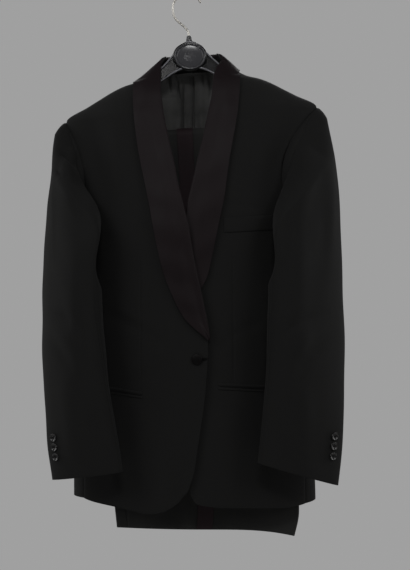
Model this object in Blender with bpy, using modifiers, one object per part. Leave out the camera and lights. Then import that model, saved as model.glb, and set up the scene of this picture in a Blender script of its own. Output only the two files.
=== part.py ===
"""A two-piece dinner suit on a moulded hanger: a shawl-collared jacket with its trousers folded over the bar.

Metres, +Z up, +X towards the wearer's left, -Y towards the front. The origin is the inner crown of the hook.
The jacket's panels all lie on one surface, body_point, whose level rings widen down the shoulder slope.
"""

import math

import bmesh
import bpy
import numpy as np
from mathutils import Vector

# Cloth
WALL = 0.0018  # jacket cloth with its interlining
TROUSER_WALL = 0.0012
SEAM = 0.00018  # half of the gap at a seam
LAYER = 0.0012  # air between a panel and the collar that lies on it
STRIP_GAP = 0.0009  # and between a panel and a pocket's strip
RING_POWER = 2.4  # above 2, so that a sleeve's flat facets pass the body's round corner
SLEEVE_CLEAR = 0.0078  # from the body's inner surface to a sleeve that hangs against it

# The suit leans on its hook
LEAN = math.radians(3.4)
SHOULDER_SHEAR = math.tan(LEAN)
PLUMB_LEVEL = -0.88  # the shear of the shoulders has died out here
SHEAR_LEVEL = -0.25  # and is whole above this
CENTRE_TOP, CENTRE_HEM = 0.0089, 0.0148  # the body's centre line at the shoulders and at the hem

# Armhole, on the body's surface
SHOULDER_POINT = -0.2136
UNDERARM = -0.445
ARMHOLE_FRONT = {-1: math.radians(27), 1: math.radians(41)}  # how far it scoops into each front
ARMHOLE_BACK = math.radians(28)
FRONT_SEAM = math.radians(66)  # front panel to side panel
BACK_SEAM = math.radians(112)  # side panel to back panel
ARMHOLE_GAP = 0.0013
NECK_LEVEL = -0.1315
NECK_ROLL = 0.0045  # how far the collar bulges off the shoulders
OVERLAP_LIFT = 0.0064  # the over front stands this far out where it covers the other front

# Hanger and hook
HOOK_RADIUS, WIRE_RADIUS = 0.0257, 0.002
BAR_LEVEL, BAR_RADIUS, BAR_REACH = -0.2495, 0.004, 0.186
DISC_RADIUS, DISC_LEVEL = 0.0274, -0.110

# Buttons
FRONT_BUTTON_RADIUS, CUFF_BUTTON_RADIUS = 0.0095, 0.0072
WELT_HEIGHT, JET_HEIGHT = 0.024, 0.011


def table(names, *rows):
    """Named columns from rows that run down the garment."""
    return dict(zip(names.split(), np.array(rows, float).T))


# Level rings of the body: half width, and how far the front and back stand from the shoulder line
BODY = table(
    "z half front back",
    (-0.104, 0.0440, 0.020, 0.0480),
    (-0.112, 0.0490, 0.022, 0.0470),
    (-0.131, 0.0657, 0.027, 0.0460),
    (-0.152, 0.0986, 0.037, 0.0500),
    (-0.158, 0.1200, 0.040, 0.0520),
    (-0.1674, 0.1417, 0.044, 0.0550),
    (-0.1786, 0.1617, 0.048, 0.0580),
    (-0.191, 0.1838, 0.051, 0.0610),
    (-0.2136, 0.2207, 0.057, 0.0670),
    (-0.260, 0.2170, 0.068, 0.0720),
    (-0.330, 0.2110, 0.080, 0.0760),
    (-0.440, 0.2070, 0.088, 0.0760),
    (-0.560, 0.2080, 0.088, 0.0680),
    (-0.700, 0.2090, 0.086, 0.0700),
    (-0.800, 0.2110, 0.085, 0.0740),
    (-0.930, 0.2130, 0.084, 0.0770),
)

# Front edges and the lapels' two edges, as distances from the centre line
ROLL = {
    -1: table(
        "z x",
        (-0.131, -0.0580), (-0.188, -0.0550), (-0.244, -0.0463), (-0.294, -0.0350), (-0.353, -0.0241),
        (-0.406, -0.0113), (-0.471, -0.0008), (-0.533, 0.0118), (-0.570, 0.0189), (-0.610, 0.0256),
    ),
    1: table(
        "z x",
        (-0.131, 0.0434), (-0.179, 0.0433), (-0.191, 0.0380), (-0.239, 0.0289), (-0.290, 0.0162),
        (-0.336, 0.0054), (-0.388, -0.0067), (-0.450, -0.0170), (-0.530, -0.0240),
    ),
}
LAPEL = {
    -1: table(
        "z x",
        (-0.170, -0.1008), (-0.185, -0.1007), (-0.243, -0.0961), (-0.295, -0.0882), (-0.359, -0.0750),
        (-0.432, -0.0621), (-0.497, -0.0473), (-0.523, -0.0372), (-0.560, -0.0227), (-0.590, 0.0030),
        (-0.610, 0.0245),
    ),
    1: table(
        "z x",
        (-0.160, 0.0846), (-0.201, 0.0819), (-0.253, 0.0742), (-0.307, 0.0639), (-0.366, 0.0554),
        (-0.421, 0.0435), (-0.469, 0.0332), (-0.511, 0.0218), (-0.530, 0.0100),
    ),
}
NECK_ROWS = {  # angles in degrees
    -1: table(
        "roll_angle roll_z outer_angle outer_z",
        (72, -0.1240, 54, -0.1590), (90, -0.1130, 86, -0.1510), (112, -0.1105, 112, -0.1540),
        (134, -0.1085, 134, -0.1565), (157, -0.1070, 157, -0.1580), (179.8, -0.1065, 179.8, -0.1585),
    ),
    1: table(
        "roll_angle roll_z outer_angle outer_z",
        (72, -0.1240, 52, -0.1545), (90, -0.1130, 82, -0.1435), (112, -0.1105, 112, -0.1500),
        (134, -0.1085, 134, -0.1565), (157, -0.1070, 157, -0.1580), (179.8, -0.1065, 179.8, -0.1585),
    ),
}
FRONT_EDGE = {
    -1: table(
        "z x",
        (-0.610, 0.0256), (-0.648, 0.0242), (-0.713, 0.0184), (-0.792, 0.0066), (-0.839, -0.0013),
        (-0.875, -0.0150),
    ),
    1: table(
        "z x",
        (-0.530, -0.0240), (-0.610, -0.0225), (-0.713, -0.0180), (-0.792, -0.0120), (-0.849, -0.0076),
        (-0.880, -0.0058),
    ),
}
HEM = {
    -1: table(
        "x z",
        (-0.2130, -0.878), (-0.2050, -0.884), (-0.1824, -0.893), (-0.1333, -0.902), (-0.0995, -0.909),
        (-0.0759, -0.912), (-0.0521, -0.907), (-0.0313, -0.894), (-0.0150, -0.875),
    ),
    1: table(
        "x z",
        (-0.0058, -0.880), (0.0020, -0.893), (0.0130, -0.897), (0.0500, -0.901), (0.0965, -0.902),
        (0.1512, -0.904), (0.1836, -0.901), (0.2095, -0.892), (0.2130, -0.884),
    ),
}
BACK_HEM = -0.886

# Sleeves: inner and outer outline from the front, and the section's middle, half depth and slant
SLEEVE = {
    -1: table(
        "z inner outer",
        (-0.220, 0.2000, 0.2330), (-0.260, 0.1950, 0.2425), (-0.310, 0.1880, 0.2466),
        (-0.370, 0.1650, 0.2545), (-0.440, 0.1567, 0.2600), (-0.530, 0.1555, 0.2631),
        (-0.620, 0.1500, 0.2630), (-0.700, 0.1420, 0.2595), (-0.780, 0.1290, 0.2543),
        (-0.860, 0.1190, 0.2452),
    ),
    1: table(
        "z inner outer",
        (-0.220, 0.1950, 0.2250), (-0.260, 0.1800, 0.2425), (-0.310, 0.1600, 0.2525),
        (-0.370, 0.1520, 0.2575), (-0.440, 0.1395, 0.2607), (-0.530, 0.1298, 0.2628),
        (-0.620, 0.1260, 0.2644), (-0.700, 0.1207, 0.2617), (-0.780, 0.1130, 0.2576),
        (-0.870, 0.1030, 0.2478),
    ),
}
SLEEVE_DEPTH = table(
    "z middle half slant",
    (-0.220, -0.012, 0.042, 0.00),
    (-0.260, -0.026, 0.056, 0.10),
    (-0.310, -0.040, 0.062, 0.25),
    (-0.370, -0.052, 0.062, 0.40),
    (-0.440, -0.064, 0.058, 0.50),
    (-0.530, -0.076, 0.050, 0.50),
    (-0.620, -0.086, 0.043, 0.45),
    (-0.700, -0.094, 0.036, 0.38),
    (-0.780, -0.100, 0.028, 0.30),
    (-0.870, -0.104, 0.020, 0.22),
)
CUFF = {-1: (-0.851, -0.834), 1: (-0.861, -0.819)}  # the cuff's level at its outer and inner edge
FRONT_SEAM_AT_CUFF, HIND_SEAM_AT_CUFF = math.radians(168), math.radians(4)
SEAM_AT_HEAD, SEAM_AT_CUFF = 0.005, 0.008  # half of a sleeve seam's gap as an angle
HEAD_REACH, HEAD_REACH_SPREAD = 0.100, 0.020  # how far down a sleeve keeps its armhole's form: more at its top

# The hanger's moulding, on each side of its middle: edges, and half the depth of its flanges
HANGER = table(
    "x top bottom half",
    (0.000, -0.0810, -0.1310, 0.0050),
    (0.014, -0.0870, -0.1325, 0.0050),
    (0.030, -0.1040, -0.1385, 0.0050),
    (0.050, -0.1240, -0.1500, 0.0055),
    (0.066, -0.1345, -0.1590, 0.0060),
    (0.098, -0.1545, -0.1750, 0.0075),
    (0.121, -0.1620, -0.1830, 0.0090),
    (0.142, -0.1710, -0.1910, 0.0105),
    (0.162, -0.1820, -0.1995, 0.0120),
    (0.184, -0.1945, -0.2090, 0.0135),
    (0.200, -0.2060, -0.2160, 0.0120),
)
FLANGE, HALF_WEB = 0.0045, 0.0015

# The hook below its round part: from the circle's side to the neck of the moulding
HOOK_TAIL = table(
    "x z", (-0.0257, -0.0290), (-0.0240, -0.0370), (-0.0190, -0.0450), (-0.0110, -0.0525), (-0.0040, -0.0600),
    (-0.0005, -0.0670), (0.0, -0.0735),
)
HOOK_TIP = math.radians(22)

# Trousers, in the hanger's own upright frame: the creased edges down the front run and the back run
LEG_FRONT_RUN = table(
    "z left right",
    (-0.2495, -0.163, 0.152), (-0.380, -0.165, 0.152), (-0.520, -0.166, 0.151), (-0.680, -0.165, 0.149),
    (-0.820, -0.162, 0.147), (-0.9146, -0.159, 0.1433), (-0.960, -0.157, 0.1310),
)
LEG_BACK_RUN = table(
    "z left right",
    (-0.2495, -0.163, 0.152), (-0.340, -0.168, 0.158), (-0.430, -0.180, 0.166), (-0.520, -0.188, 0.167),
    (-0.605, -0.186, 0.160),
)
LEG_HEM_LEFT, LEG_HEM_RIGHT = -0.936, -0.969
CROTCH, WAIST_SEAM, WAISTBAND = -0.335, -0.605, 0.038
LEG_LAYERS = {"L": 0.0102, "R": 0.0068}  # how far each leg's flat hollow lies from the bar's centre
LEG_HOLLOW = 0.0006
STRIPE_HALF = 0.014
INNER_LEG_SHIFT = -0.020


def read(columns, name, at):
    """The named column at these places, on a curve through the rows that never overshoots them."""
    key = "x" if "x" in columns and name != "x" else "z"
    xs, ys = columns[key], columns[name]
    if xs[0] > xs[-1]:
        xs, ys = xs[::-1], ys[::-1]
    step = np.diff(xs)
    rise = np.diff(ys) / step
    product = rise[:-1] * rise[1:]
    slope = np.zeros(len(xs))
    slope[1:-1] = np.where(product > 0, 2 * product / np.where(product > 0, rise[:-1] + rise[1:], 1), 0)
    slope[0], slope[-1] = rise[0], rise[-1]
    at = np.clip(np.asarray(at, float), xs[0], xs[-1])
    i = np.clip(np.searchsorted(xs, at) - 1, 0, len(step) - 1)
    t = (at - xs[i]) / step[i]
    return (
        ys[i] * (1 + 2 * t) * (1 - t) ** 2
        + ys[i + 1] * t * t * (3 - 2 * t)
        + step[i] * t * (1 - t) * (slope[i] * (1 - t) - slope[i + 1] * t)
    )


def fade(t):
    """0 below 0, 1 above 1, and a smooth step between."""
    t = np.clip(t, 0, 1)
    return t * t * (3 - 2 * t)


def placed(x, y, z):
    """A point given from the jacket's centre line, moved to where the leaning jacket holds it."""
    along = np.clip((-z - 0.2) / 0.68, 0, 1)
    centre = CENTRE_TOP + (CENTRE_HEM - CENTRE_TOP) * along
    shear = SHOULDER_SHEAR * fade((z - PLUMB_LEVEL) / (SHEAR_LEVEL - PLUMB_LEVEL))
    return np.stack(np.broadcast_arrays(x + centre, y, z + x * shear), -1)


def body_point(phi, z):
    """The body's inner surface: phi is 0 at the front centre, a right angle at +X and half a turn at the back."""
    depth = np.where(np.cos(phi) > 0, read(BODY, "front", z), read(BODY, "back", z))
    return placed(read(BODY, "half", z) * np.sin(phi), -depth * np.cos(phi), z)


def body_normal(phi, z):
    """Outward, from the surface's slopes round and down."""
    e = 1e-4
    across = body_point(phi + e, z) - body_point(phi - e, z)
    up = body_point(phi, z + e) - body_point(phi, z - e)
    normal = np.cross(across, up)
    return normal / np.linalg.norm(normal, axis=-1, keepdims=True)


def lifted(phi, z, out):
    phi, z, out = np.broadcast_arrays(phi, z, out)
    return body_point(phi, z) + body_normal(phi, z) * out[..., None]


def seam_angle(phi, z):
    """Half of a seam's gap as an angle, where an upright seam runs."""
    depth = np.where(np.cos(phi) > 0, read(BODY, "front", z), read(BODY, "back", z))
    return SEAM / np.hypot(read(BODY, "half", z) * np.cos(phi), depth * np.sin(phi))


def angle_of(x, z):
    """The front's angle at a distance from the centre line."""
    return np.arcsin(np.clip(x / read(BODY, "half", z), -1, 1))


def armhole(side, tau, inset=0.0):
    """Angle and level round the armhole; tau is 0 at the shoulder point, a right angle at the front."""
    middle, height = (SHOULDER_POINT + UNDERARM) / 2, (SHOULDER_POINT - UNDERARM) / 2
    scoop = np.where(np.sin(tau) > 0, ARMHOLE_FRONT[side], ARMHOLE_BACK)
    phi = math.pi / 2 - (scoop - inset / 0.2) * np.sin(tau)
    return phi * side, middle + (height - inset) * np.cos(tau)


def seam_tau(side):
    """Where the front seam and the back seam of the side panel meet the armhole."""
    front = math.pi - math.asin((math.pi / 2 - FRONT_SEAM) / ARMHOLE_FRONT[side])
    back = math.pi + math.asin((BACK_SEAM - math.pi / 2) / ARMHOLE_BACK)
    return front, back


def over_lift(side, phi, z):
    """How far the over front stands out: most at the overlap, nothing by the side and above the break."""
    if side > 0:
        return np.zeros(np.broadcast(phi, z).shape)
    x = read(BODY, "half", z) * np.sin(phi)
    return OVERLAP_LIFT * fade((x + 0.10) / 0.075) * fade((-z - 0.27) / 0.10)


# Objects


def material(name, colour, roughness, metallic=0.0):
    made = bpy.data.materials.new(name)
    made.use_nodes = True
    shader = made.node_tree.nodes["Principled BSDF"]
    shader.inputs["Base Color"].default_value = (*colour, 1)
    shader.inputs["Roughness"].default_value = roughness
    shader.inputs["Metallic"].default_value = metallic
    return made


def add(name, mesh, finish):
    made = bpy.data.objects.new(name, mesh)
    SUIT.objects.link(made)
    made.data.materials.append(finish)
    return made


def wall(name, points, outward, finish, thickness=WALL, inside=False, even=True):
    """A cloth wall on a grid of points; its thickness goes to the outward side, or to the inner one."""
    rows, columns = points.shape[:2]
    index = np.arange(rows * columns).reshape(rows, columns)
    quads = np.stack([index[:-1, :-1], index[:-1, 1:], index[1:, 1:], index[1:, :-1]], -1)
    normal = np.cross(points[1:, 1:] - points[:-1, :-1], points[1:, :-1] - points[:-1, 1:])
    towards = np.broadcast_to(outward, points.shape)[:-1, :-1]
    if (normal * towards).sum() < 0:
        quads = quads[..., ::-1]
    mesh = bpy.data.meshes.new(name)
    mesh.from_pydata(points.reshape(-1, 3).tolist(), [], quads.reshape(-1, 4).tolist())
    mesh.shade_smooth()
    made = add(name, mesh, finish)
    solidify = made.modifiers.new("wall", "SOLIDIFY")
    solidify.thickness = thickness
    solidify.offset = -1 if inside else 1
    solidify.use_even_offset = even
    return made


def turned(name, profile, finish, place, axis, steps=20):
    """A profile of radius and height turned about an axis that points the given way."""
    mesh = bpy.data.meshes.new(name)
    points = [(radius, 0, height) for radius, height in profile]
    mesh.from_pydata(points, [(i, i + 1) for i in range(len(points) - 1)], [])
    made = add(name, mesh, finish)
    screw = made.modifiers.new("turn", "SCREW")
    screw.steps = screw.render_steps = steps
    screw.use_merge_vertices = True
    screw.merge_threshold = 0.0001
    made.location = place
    made.rotation_mode = "QUATERNION"
    made.rotation_quaternion = Vector(axis).to_track_quat("Z", "Y")
    return made


def tube(name, points, radius, finish, resolution=3):
    curve = bpy.data.curves.new(name, "CURVE")
    curve.dimensions = "3D"
    curve.bevel_depth = radius
    curve.bevel_resolution = resolution
    curve.use_fill_caps = True
    spline = curve.splines.new("POLY")
    spline.points.add(len(points) - 1)
    for point, place in zip(spline.points, points):
        point.co = (*place, 1)
    return add(name, curve, finish)


def leaning(x, y, z):
    """A point of the hanger's own upright frame, turned about the hook by the lean."""
    x, y, z = np.broadcast_arrays(x, y, z)
    across, up = x * math.cos(LEAN) - z * math.sin(LEAN), x * math.sin(LEAN) + z * math.cos(LEAN)
    return np.stack([across, y, up], -1)


# The jacket's body


def front_levels(side):
    """Levels of a front's rows: down the shoulder, down the armhole, and from the side seam to near the hem."""
    shoulder = np.array([NECK_LEVEL, -0.1445, -0.1535, -0.1674, -0.1845, -0.2000])
    arm = armhole(side, np.linspace(0, seam_tau(side)[0], 7))[1]
    return shoulder, arm, np.linspace(arm[-1], -0.87, 8)[1:]


def hem_level(side, phi):
    x = read(BODY, "half", -0.88) * np.sin(phi)
    return np.where(np.cos(phi) > 0, read(HEM[side], "z", x), BACK_HEM)


def down_to_hem(side, phi, z, start=-0.60):
    """Rows below a level are spread so that the last one follows the hem."""
    share = np.clip((start - z) / (start + 0.87), 0, None)
    return np.where(z < start, start + (hem_level(side, phi) - start) * share, z)


def edge_x(side, z):
    """Where a front's own edge runs: the roll line of its lapel, then the closing edge."""
    break_level = ROLL[side]["z"][-1]
    return np.where(z > break_level, read(ROLL[side], "x", z), read(FRONT_EDGE[side], "x", z))


def front_grid(side):
    shoulder, arm, below = front_levels(side)
    z = np.concatenate([shoulder, arm, below])
    outer = np.concatenate([
        np.full(len(shoulder), math.pi / 2 * side),
        armhole(side, np.linspace(0, seam_tau(side)[0], 7))[0],
        np.full(len(below), FRONT_SEAM * side),
    ])
    inner = angle_of(edge_x(side, z), z)
    across = np.linspace(0, 1, 8)
    phi = inner[:, None] + (outer - seam_angle(outer, z) * side - inner)[:, None] * across
    level = down_to_hem(side, phi, z[:, None] + 0 * phi)
    return phi, level


def front(side, name):
    phi, level = front_grid(side)
    points = lifted(phi, level, over_lift(side, phi, level))
    wall(name, points, body_normal(phi, level), WOOL)


def back(side, name):
    tau_back = 2 * math.pi - seam_tau(side)[1]
    shoulder = front_levels(side)[0]
    arm_phi, arm = armhole(side, -np.linspace(0, tau_back, 7))
    below = np.linspace(arm[-1], -0.87, 8)[1:]
    z = np.concatenate([shoulder, arm, below])
    outer = np.concatenate([
        np.full(len(shoulder), math.pi / 2 * side), arm_phi, np.full(len(below), BACK_SEAM * side)
    ])
    outer = outer + seam_angle(outer, z) * side
    centre = (math.pi - seam_angle(math.pi, z)) * side
    across = np.linspace(0, 1, 7)
    phi = outer[:, None] + (centre - outer)[:, None] * across
    level = down_to_hem(side, phi, z[:, None] + 0 * phi)
    wall(name, body_point(phi, level), body_normal(phi, level), WOOL)


def side_panel(side, name):
    """From the bottom of the armhole to the hem, its top edge scooped with the armhole."""
    first, last = seam_tau(side)
    tau = np.linspace(first, last, 7)
    phi, top = armhole(side, tau)
    phi = phi * side
    phi[[0, -1]] += seam_angle(phi[[0, -1]], top[[0, -1]]) * [1, -1]
    front_rows = np.concatenate([top[:1], np.linspace(top[0], -0.87, 8)[1:]])
    back_rows = np.concatenate([top[-1:], np.linspace(top[-1], -0.87, 8)[1:]])
    across = np.linspace(0, 1, 7)
    rows = front_rows[:, None] * (1 - across) + back_rows[:, None] * across
    scoop = (top - rows[0])[None] * (1 - fade(np.arange(8)[:, None] / 3.5))
    level = rows + scoop
    phi = np.broadcast_to(phi * side, level.shape)
    flat_hem = read(HEM[side], "z", read(BODY, "half", -0.88) * math.sin(FRONT_SEAM) * side)
    hem = flat_hem * (1 - across) + BACK_HEM * across
    share = np.clip((-0.60 - level) / 0.27, 0, None)
    level = np.where(level < -0.60, -0.60 + (hem + 0.60) * share, level)
    wall(name, body_point(phi, level), body_normal(phi, level), WOOL)


# Collar


def collar_rows(side):
    """Roll edge and outer edge of half the shawl, from its tip up the front and round the neck to the back."""
    tip = LAPEL[side]["z"][-1]
    roll = np.concatenate([np.linspace(tip, -0.30, 9), np.linspace(-0.265, -0.150, 4)])
    outer = np.concatenate([np.linspace(tip, -0.30, 9), np.linspace(-0.268, -0.172, 4)])
    roll_phi = angle_of(read(ROLL[side], "x", roll), roll) * side
    outer_phi = angle_of(read(LAPEL[side], "x", outer), outer) * side
    neck = NECK_ROWS[side]
    return (
        np.concatenate([roll_phi, np.radians(neck["roll_angle"])]) * side,
        np.concatenate([roll, neck["roll_z"]]),
        np.concatenate([outer_phi, np.radians(neck["outer_angle"])]) * side,
        np.concatenate([outer, neck["outer_z"]]),
    )


def shawl(side, name):
    roll_phi, roll_z, outer_phi, outer_z = collar_rows(side)
    across = np.linspace(0, 1, 5)
    phi = roll_phi[:, None] + (outer_phi - roll_phi)[:, None] * across
    z = roll_z[:, None] + (outer_z - roll_z)[:, None] * across
    rolled = fade((z + 0.26) / 0.08) * (0.35 + 0.65 * np.sin(math.pi * across))
    out = over_lift(side, phi, z) + WALL + LAYER + NECK_ROLL * rolled
    wall(name, lifted(phi, z, out), body_normal(phi, z), SATIN)


def collar_stand():
    phi = np.radians(np.linspace(70, 290, 15))
    z = np.linspace(NECK_LEVEL + 2 * SEAM, -0.1120, 3)[:, None]
    phi = np.broadcast_to(phi, (3, 15))
    z = np.broadcast_to(z, (3, 15))
    wall("collar_stand", body_point(phi, z), body_normal(phi, z), WOOL)


def back_lining():
    phi = np.radians(np.linspace(122, 238, 11))
    z = np.array([-0.136, -0.152, -0.1674, -0.1845, -0.2136, -0.25, -0.30, -0.36, -0.42])
    phi, z = np.broadcast_arrays(phi[None], z[:, None])
    wall("back_lining", lifted(phi, z, -0.0032), body_normal(phi, z), LINING, thickness=0.0012)


# Sleeves


def sleeve_section(side, z, tau):
    """A slanted oval inside the sleeve's two outlines; tau is 0 at the outer edge, a right angle in front."""
    inner, outer = read(SLEEVE[side], "inner", z) + WALL, read(SLEEVE[side], "outer", z) - WALL
    along = (outer - inner) / 2 * np.cos(tau)
    y = read(SLEEVE_DEPTH, "middle", z) + read(SLEEVE_DEPTH, "slant", z) * along
    y = y - read(SLEEVE_DEPTH, "half", z) * np.sin(tau)
    return np.stack([((inner + outer) / 2 + along) * side, y, z], -1)


def clear_of_body(points, clear):
    """Points inside the body's ring, widened and squared a little, are moved straight out from its axis to it."""
    x, y, z = points[..., 0], points[..., 1], points[..., 2]
    half = read(BODY, "half", z) + clear
    depth = np.where(y < 0, read(BODY, "front", z), read(BODY, "back", z)) + clear
    reach = (np.abs(x / half) ** RING_POWER + np.abs(y / depth) ** RING_POWER) ** (1 / RING_POWER)
    grow = np.maximum(1, 1 / np.maximum(reach, 1e-6))
    return np.stack([x * grow, y * grow, z], -1)


def sleeve_taus(side):
    """Angles round the armhole at the panels' own points: the hind seam, over the top, and round below."""
    front, back = seam_tau(side)
    ahead = np.linspace(0, front, 7)
    below = np.linspace(front, back, 7)
    behind = np.linspace(back, 2 * math.pi, 7)
    top = np.concatenate([behind[3:-1] - 2 * math.pi, ahead, below[1:2]])
    under = np.concatenate([below[1:], behind[1:4]])
    return top, under


def armhole_ring(side, tau, out):
    """The armhole just inside its panels' edges, moved out from the body, from the jacket's centre line."""
    phi, z = armhole(side, tau, inset=WALL + ARMHOLE_GAP)
    half = read(BODY, "half", z)
    depth = np.where(np.cos(phi) > 0, read(BODY, "front", z), read(BODY, "back", z))
    return np.stack([(half + out) * np.sin(phi), -(depth + out) * np.cos(phi), z], -1)


def sleeve_points(side, tau_top, tau_cuff):
    """Rows from the armhole to the cuff: the ring's own offset from the sections fades out on the way."""
    share = np.linspace(0, 1, 12)[:, None] ** 1.35
    tau = tau_top + (tau_cuff - tau_top) * fade(share * 1.15)
    below = fade((1 - np.cos(tau_top)) / 0.9)
    stand = 0.0015 + SLEEVE_CLEAR * below
    ring = armhole_ring(side, tau_top, stand)
    loop_z = ring[:, 2]
    outer_cuff, inner_cuff = CUFF[side]
    cuff = (outer_cuff + inner_cuff) / 2 + (outer_cuff - inner_cuff) / 2 * np.cos(tau_cuff)
    z = loop_z + (cuff - loop_z) * share
    reach = HEAD_REACH + HEAD_REACH_SPREAD * np.cos(tau_top)
    offset = ring - sleeve_section(side, loop_z, tau_top)
    points = sleeve_section(side, z, tau) + offset * (1 - fade((loop_z - z) / reach))[..., None]
    points = clear_of_body(points, stand + (SLEEVE_CLEAR + 0.0015 - stand) * fade(share * 4))
    points = np.concatenate([armhole_ring(side, tau_top, 0.0)[None], ring[None], points[1:]])
    return placed(points[..., 0], points[..., 1], points[..., 2])


def sleeve(side, names):
    top, under = sleeve_taus(side)
    turn = 2 * math.pi
    edges = (
        (names[0], top, HIND_SEAM_AT_CUFF, FRONT_SEAM_AT_CUFF),
        (names[1], under, FRONT_SEAM_AT_CUFF, HIND_SEAM_AT_CUFF + turn),
    )
    for name, taus, first, last in edges:
        taus = taus.copy()
        taus[0], taus[-1] = taus[0] + SEAM_AT_HEAD, taus[-1] - SEAM_AT_HEAD
        cuff = np.linspace(first + SEAM_AT_CUFF, last - SEAM_AT_CUFF, len(taus))
        points = sleeve_points(side, taus, cuff)
        whole = sleeve_points(side, np.linspace(0, turn, 13), np.linspace(0, turn, 13))
        axis = whole[:, :-1].mean(axis=1, keepdims=True)
        wall(name, points, points - axis, WOOL, even=False)


# Trimmings


def strip_on_front(side, name, x_from, x_to, z_from, z_to, height, finish, thickness):
    x = np.linspace(x_from, x_to, 6)
    z = np.linspace(z_from, z_to, 6) - np.array([[0.5], [0], [-0.5]]) * height
    phi = angle_of(x, z)
    out = over_lift(side, phi, z) + WALL + STRIP_GAP
    wall(name, lifted(phi, z, out), body_normal(phi, z), finish, thickness)


def pockets():
    strip_on_front(1, "chest_welt", 0.0548, 0.1400, -0.4155, -0.4140, WELT_HEIGHT, WOOL, 0.0014)
    strip_on_front(-1, "hip_pocket_right", -0.1760, -0.0880, -0.692, -0.7055, JET_HEIGHT, WOOL, 0.0011)
    strip_on_front(1, "hip_pocket_left", 0.0420, 0.1720, -0.691, -0.7000, JET_HEIGHT, WOOL, 0.0011)


def button_profile(radius, height):
    """Up its flat underside, round its rim, and over a dished top with a raised edge."""
    return [
        (0, height * 0.62), (radius * 0.62, height * 0.66), (radius * 0.86, height), (radius, height * 0.7),
        (radius, height * 0.25), (radius * 0.86, 0), (0, 0),
    ]


def buttons():
    z = np.array(-0.6433)
    phi = angle_of(np.array(0.0065), z)
    place = lifted(phi, z, over_lift(-1, phi, z) + WALL + 0.0004)
    turned("front_button", button_profile(FRONT_BUTTON_RADIUS, 0.0042), HORN, place, body_normal(phi, z))
    for side, label in ((-1, "right"), (1, "left")):
        for number, level in enumerate((-0.776, -0.7925, -0.8095)):
            tau = np.radians(40.0)
            around = [sleeve_section(side, np.array(level + dz), np.array(tau + dt))
                      for dz, dt in ((0, 0), (0, 0.02), (0.002, 0))]
            normal = np.cross(around[1] - around[0], around[2] - around[0])
            normal = normal / np.linalg.norm(normal)
            if normal[1] > 0:
                normal = -normal
            place = around[0] + normal * (WALL + 0.0004)
            place = placed(*place)
            turned(f"cuff_button_{label}_{number + 1}", button_profile(CUFF_BUTTON_RADIUS, 0.0034), HORN,
                   place, normal, steps=14)


# Hanger


def hanger():
    x = np.concatenate([-HANGER["x"][:0:-1], HANGER["x"]])
    top, bottom, half = (read(HANGER, name, np.abs(x)) for name in ("top", "bottom", "half"))
    web = np.full(len(x), HALF_WEB)
    outline = [
        (-half, top - 0.4 * half), (-0.5 * half, top), (0.5 * half, top), (half, top - 0.4 * half),
        (half, top - FLANGE), (web, top - FLANGE), (web, bottom + FLANGE), (half, bottom + FLANGE),
        (half, bottom), (-half, bottom), (-half, bottom + FLANGE), (-web, bottom + FLANGE),
        (-web, top - FLANGE), (-half, top - FLANGE),
    ]
    rings = np.stack([leaning(x, y, z) for y, z in outline], 1)
    count, around = rings.shape[:2]
    mesh = bpy.data.meshes.new("hanger")
    index = np.arange(count * around).reshape(count, around)
    following = np.roll(index, -1, axis=1)
    quads = np.stack([index[:-1], index[1:], following[1:], following[:-1]], -1).reshape(-1, 4).tolist()
    mesh.from_pydata(rings.reshape(-1, 3).tolist(), [], [*quads, index[0].tolist(), index[-1][::-1].tolist()])
    made = bmesh.new()
    made.from_mesh(mesh)
    bmesh.ops.recalc_face_normals(made, faces=made.faces)
    made.to_mesh(mesh)
    made.free()
    add("hanger", mesh, PLASTIC)


def hanger_disc(name, y, facing):
    profile = [
        (0, 0.0030), (DISC_RADIUS * 0.80, 0.0030), (DISC_RADIUS * 0.86, 0.0042), (DISC_RADIUS * 0.96, 0.0042),
        (DISC_RADIUS, 0.0030), (DISC_RADIUS, 0), (0, 0),
    ]
    turned(name, profile, PLASTIC, leaning(0, y, DISC_LEVEL), (0, facing, 0), steps=36)


def trouser_bar():
    """Down from each arm, round a bend and across."""
    bend = 3 * BAR_RADIUS
    top = read(HANGER, "bottom", BAR_REACH) - 0.0022
    turn = np.radians(np.linspace(0, 90, 5))
    x = BAR_REACH - bend + bend * np.cos(turn)
    z = BAR_LEVEL + bend - bend * np.sin(turn)
    half_x = np.concatenate([[BAR_REACH], x])
    half_z = np.concatenate([[top], z])
    path = leaning(np.concatenate([half_x, -half_x[::-1]]), 0.0, np.concatenate([half_z, half_z[::-1]]))
    tube("trouser_bar", path.tolist(), BAR_RADIUS, PLASTIC)


def hook():
    turn = np.linspace(HOOK_TIP, math.radians(180), 15)
    centre = -HOOK_RADIUS + WIRE_RADIUS
    round_x, round_z = HOOK_RADIUS * np.cos(turn), centre + HOOK_RADIUS * np.sin(turn)
    x = np.concatenate([round_x, HOOK_TAIL["x"]])
    z = np.concatenate([round_z, HOOK_TAIL["z"]])
    tube("hook", leaning(x, 0.0, z).tolist(), WIRE_RADIUS, STEEL)
    top = HOOK_TAIL["z"][-1] - 0.0003
    foot = HANGER["top"][0] + 0.0003
    profile = [(0, top - foot), (0.0042, top - foot), (0.0052, 0), (0, 0)]
    turned("hook_ferrule", profile, PLASTIC, leaning(0, 0, foot), leaning(0, 0, 1), steps=16)


# Trousers


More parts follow.
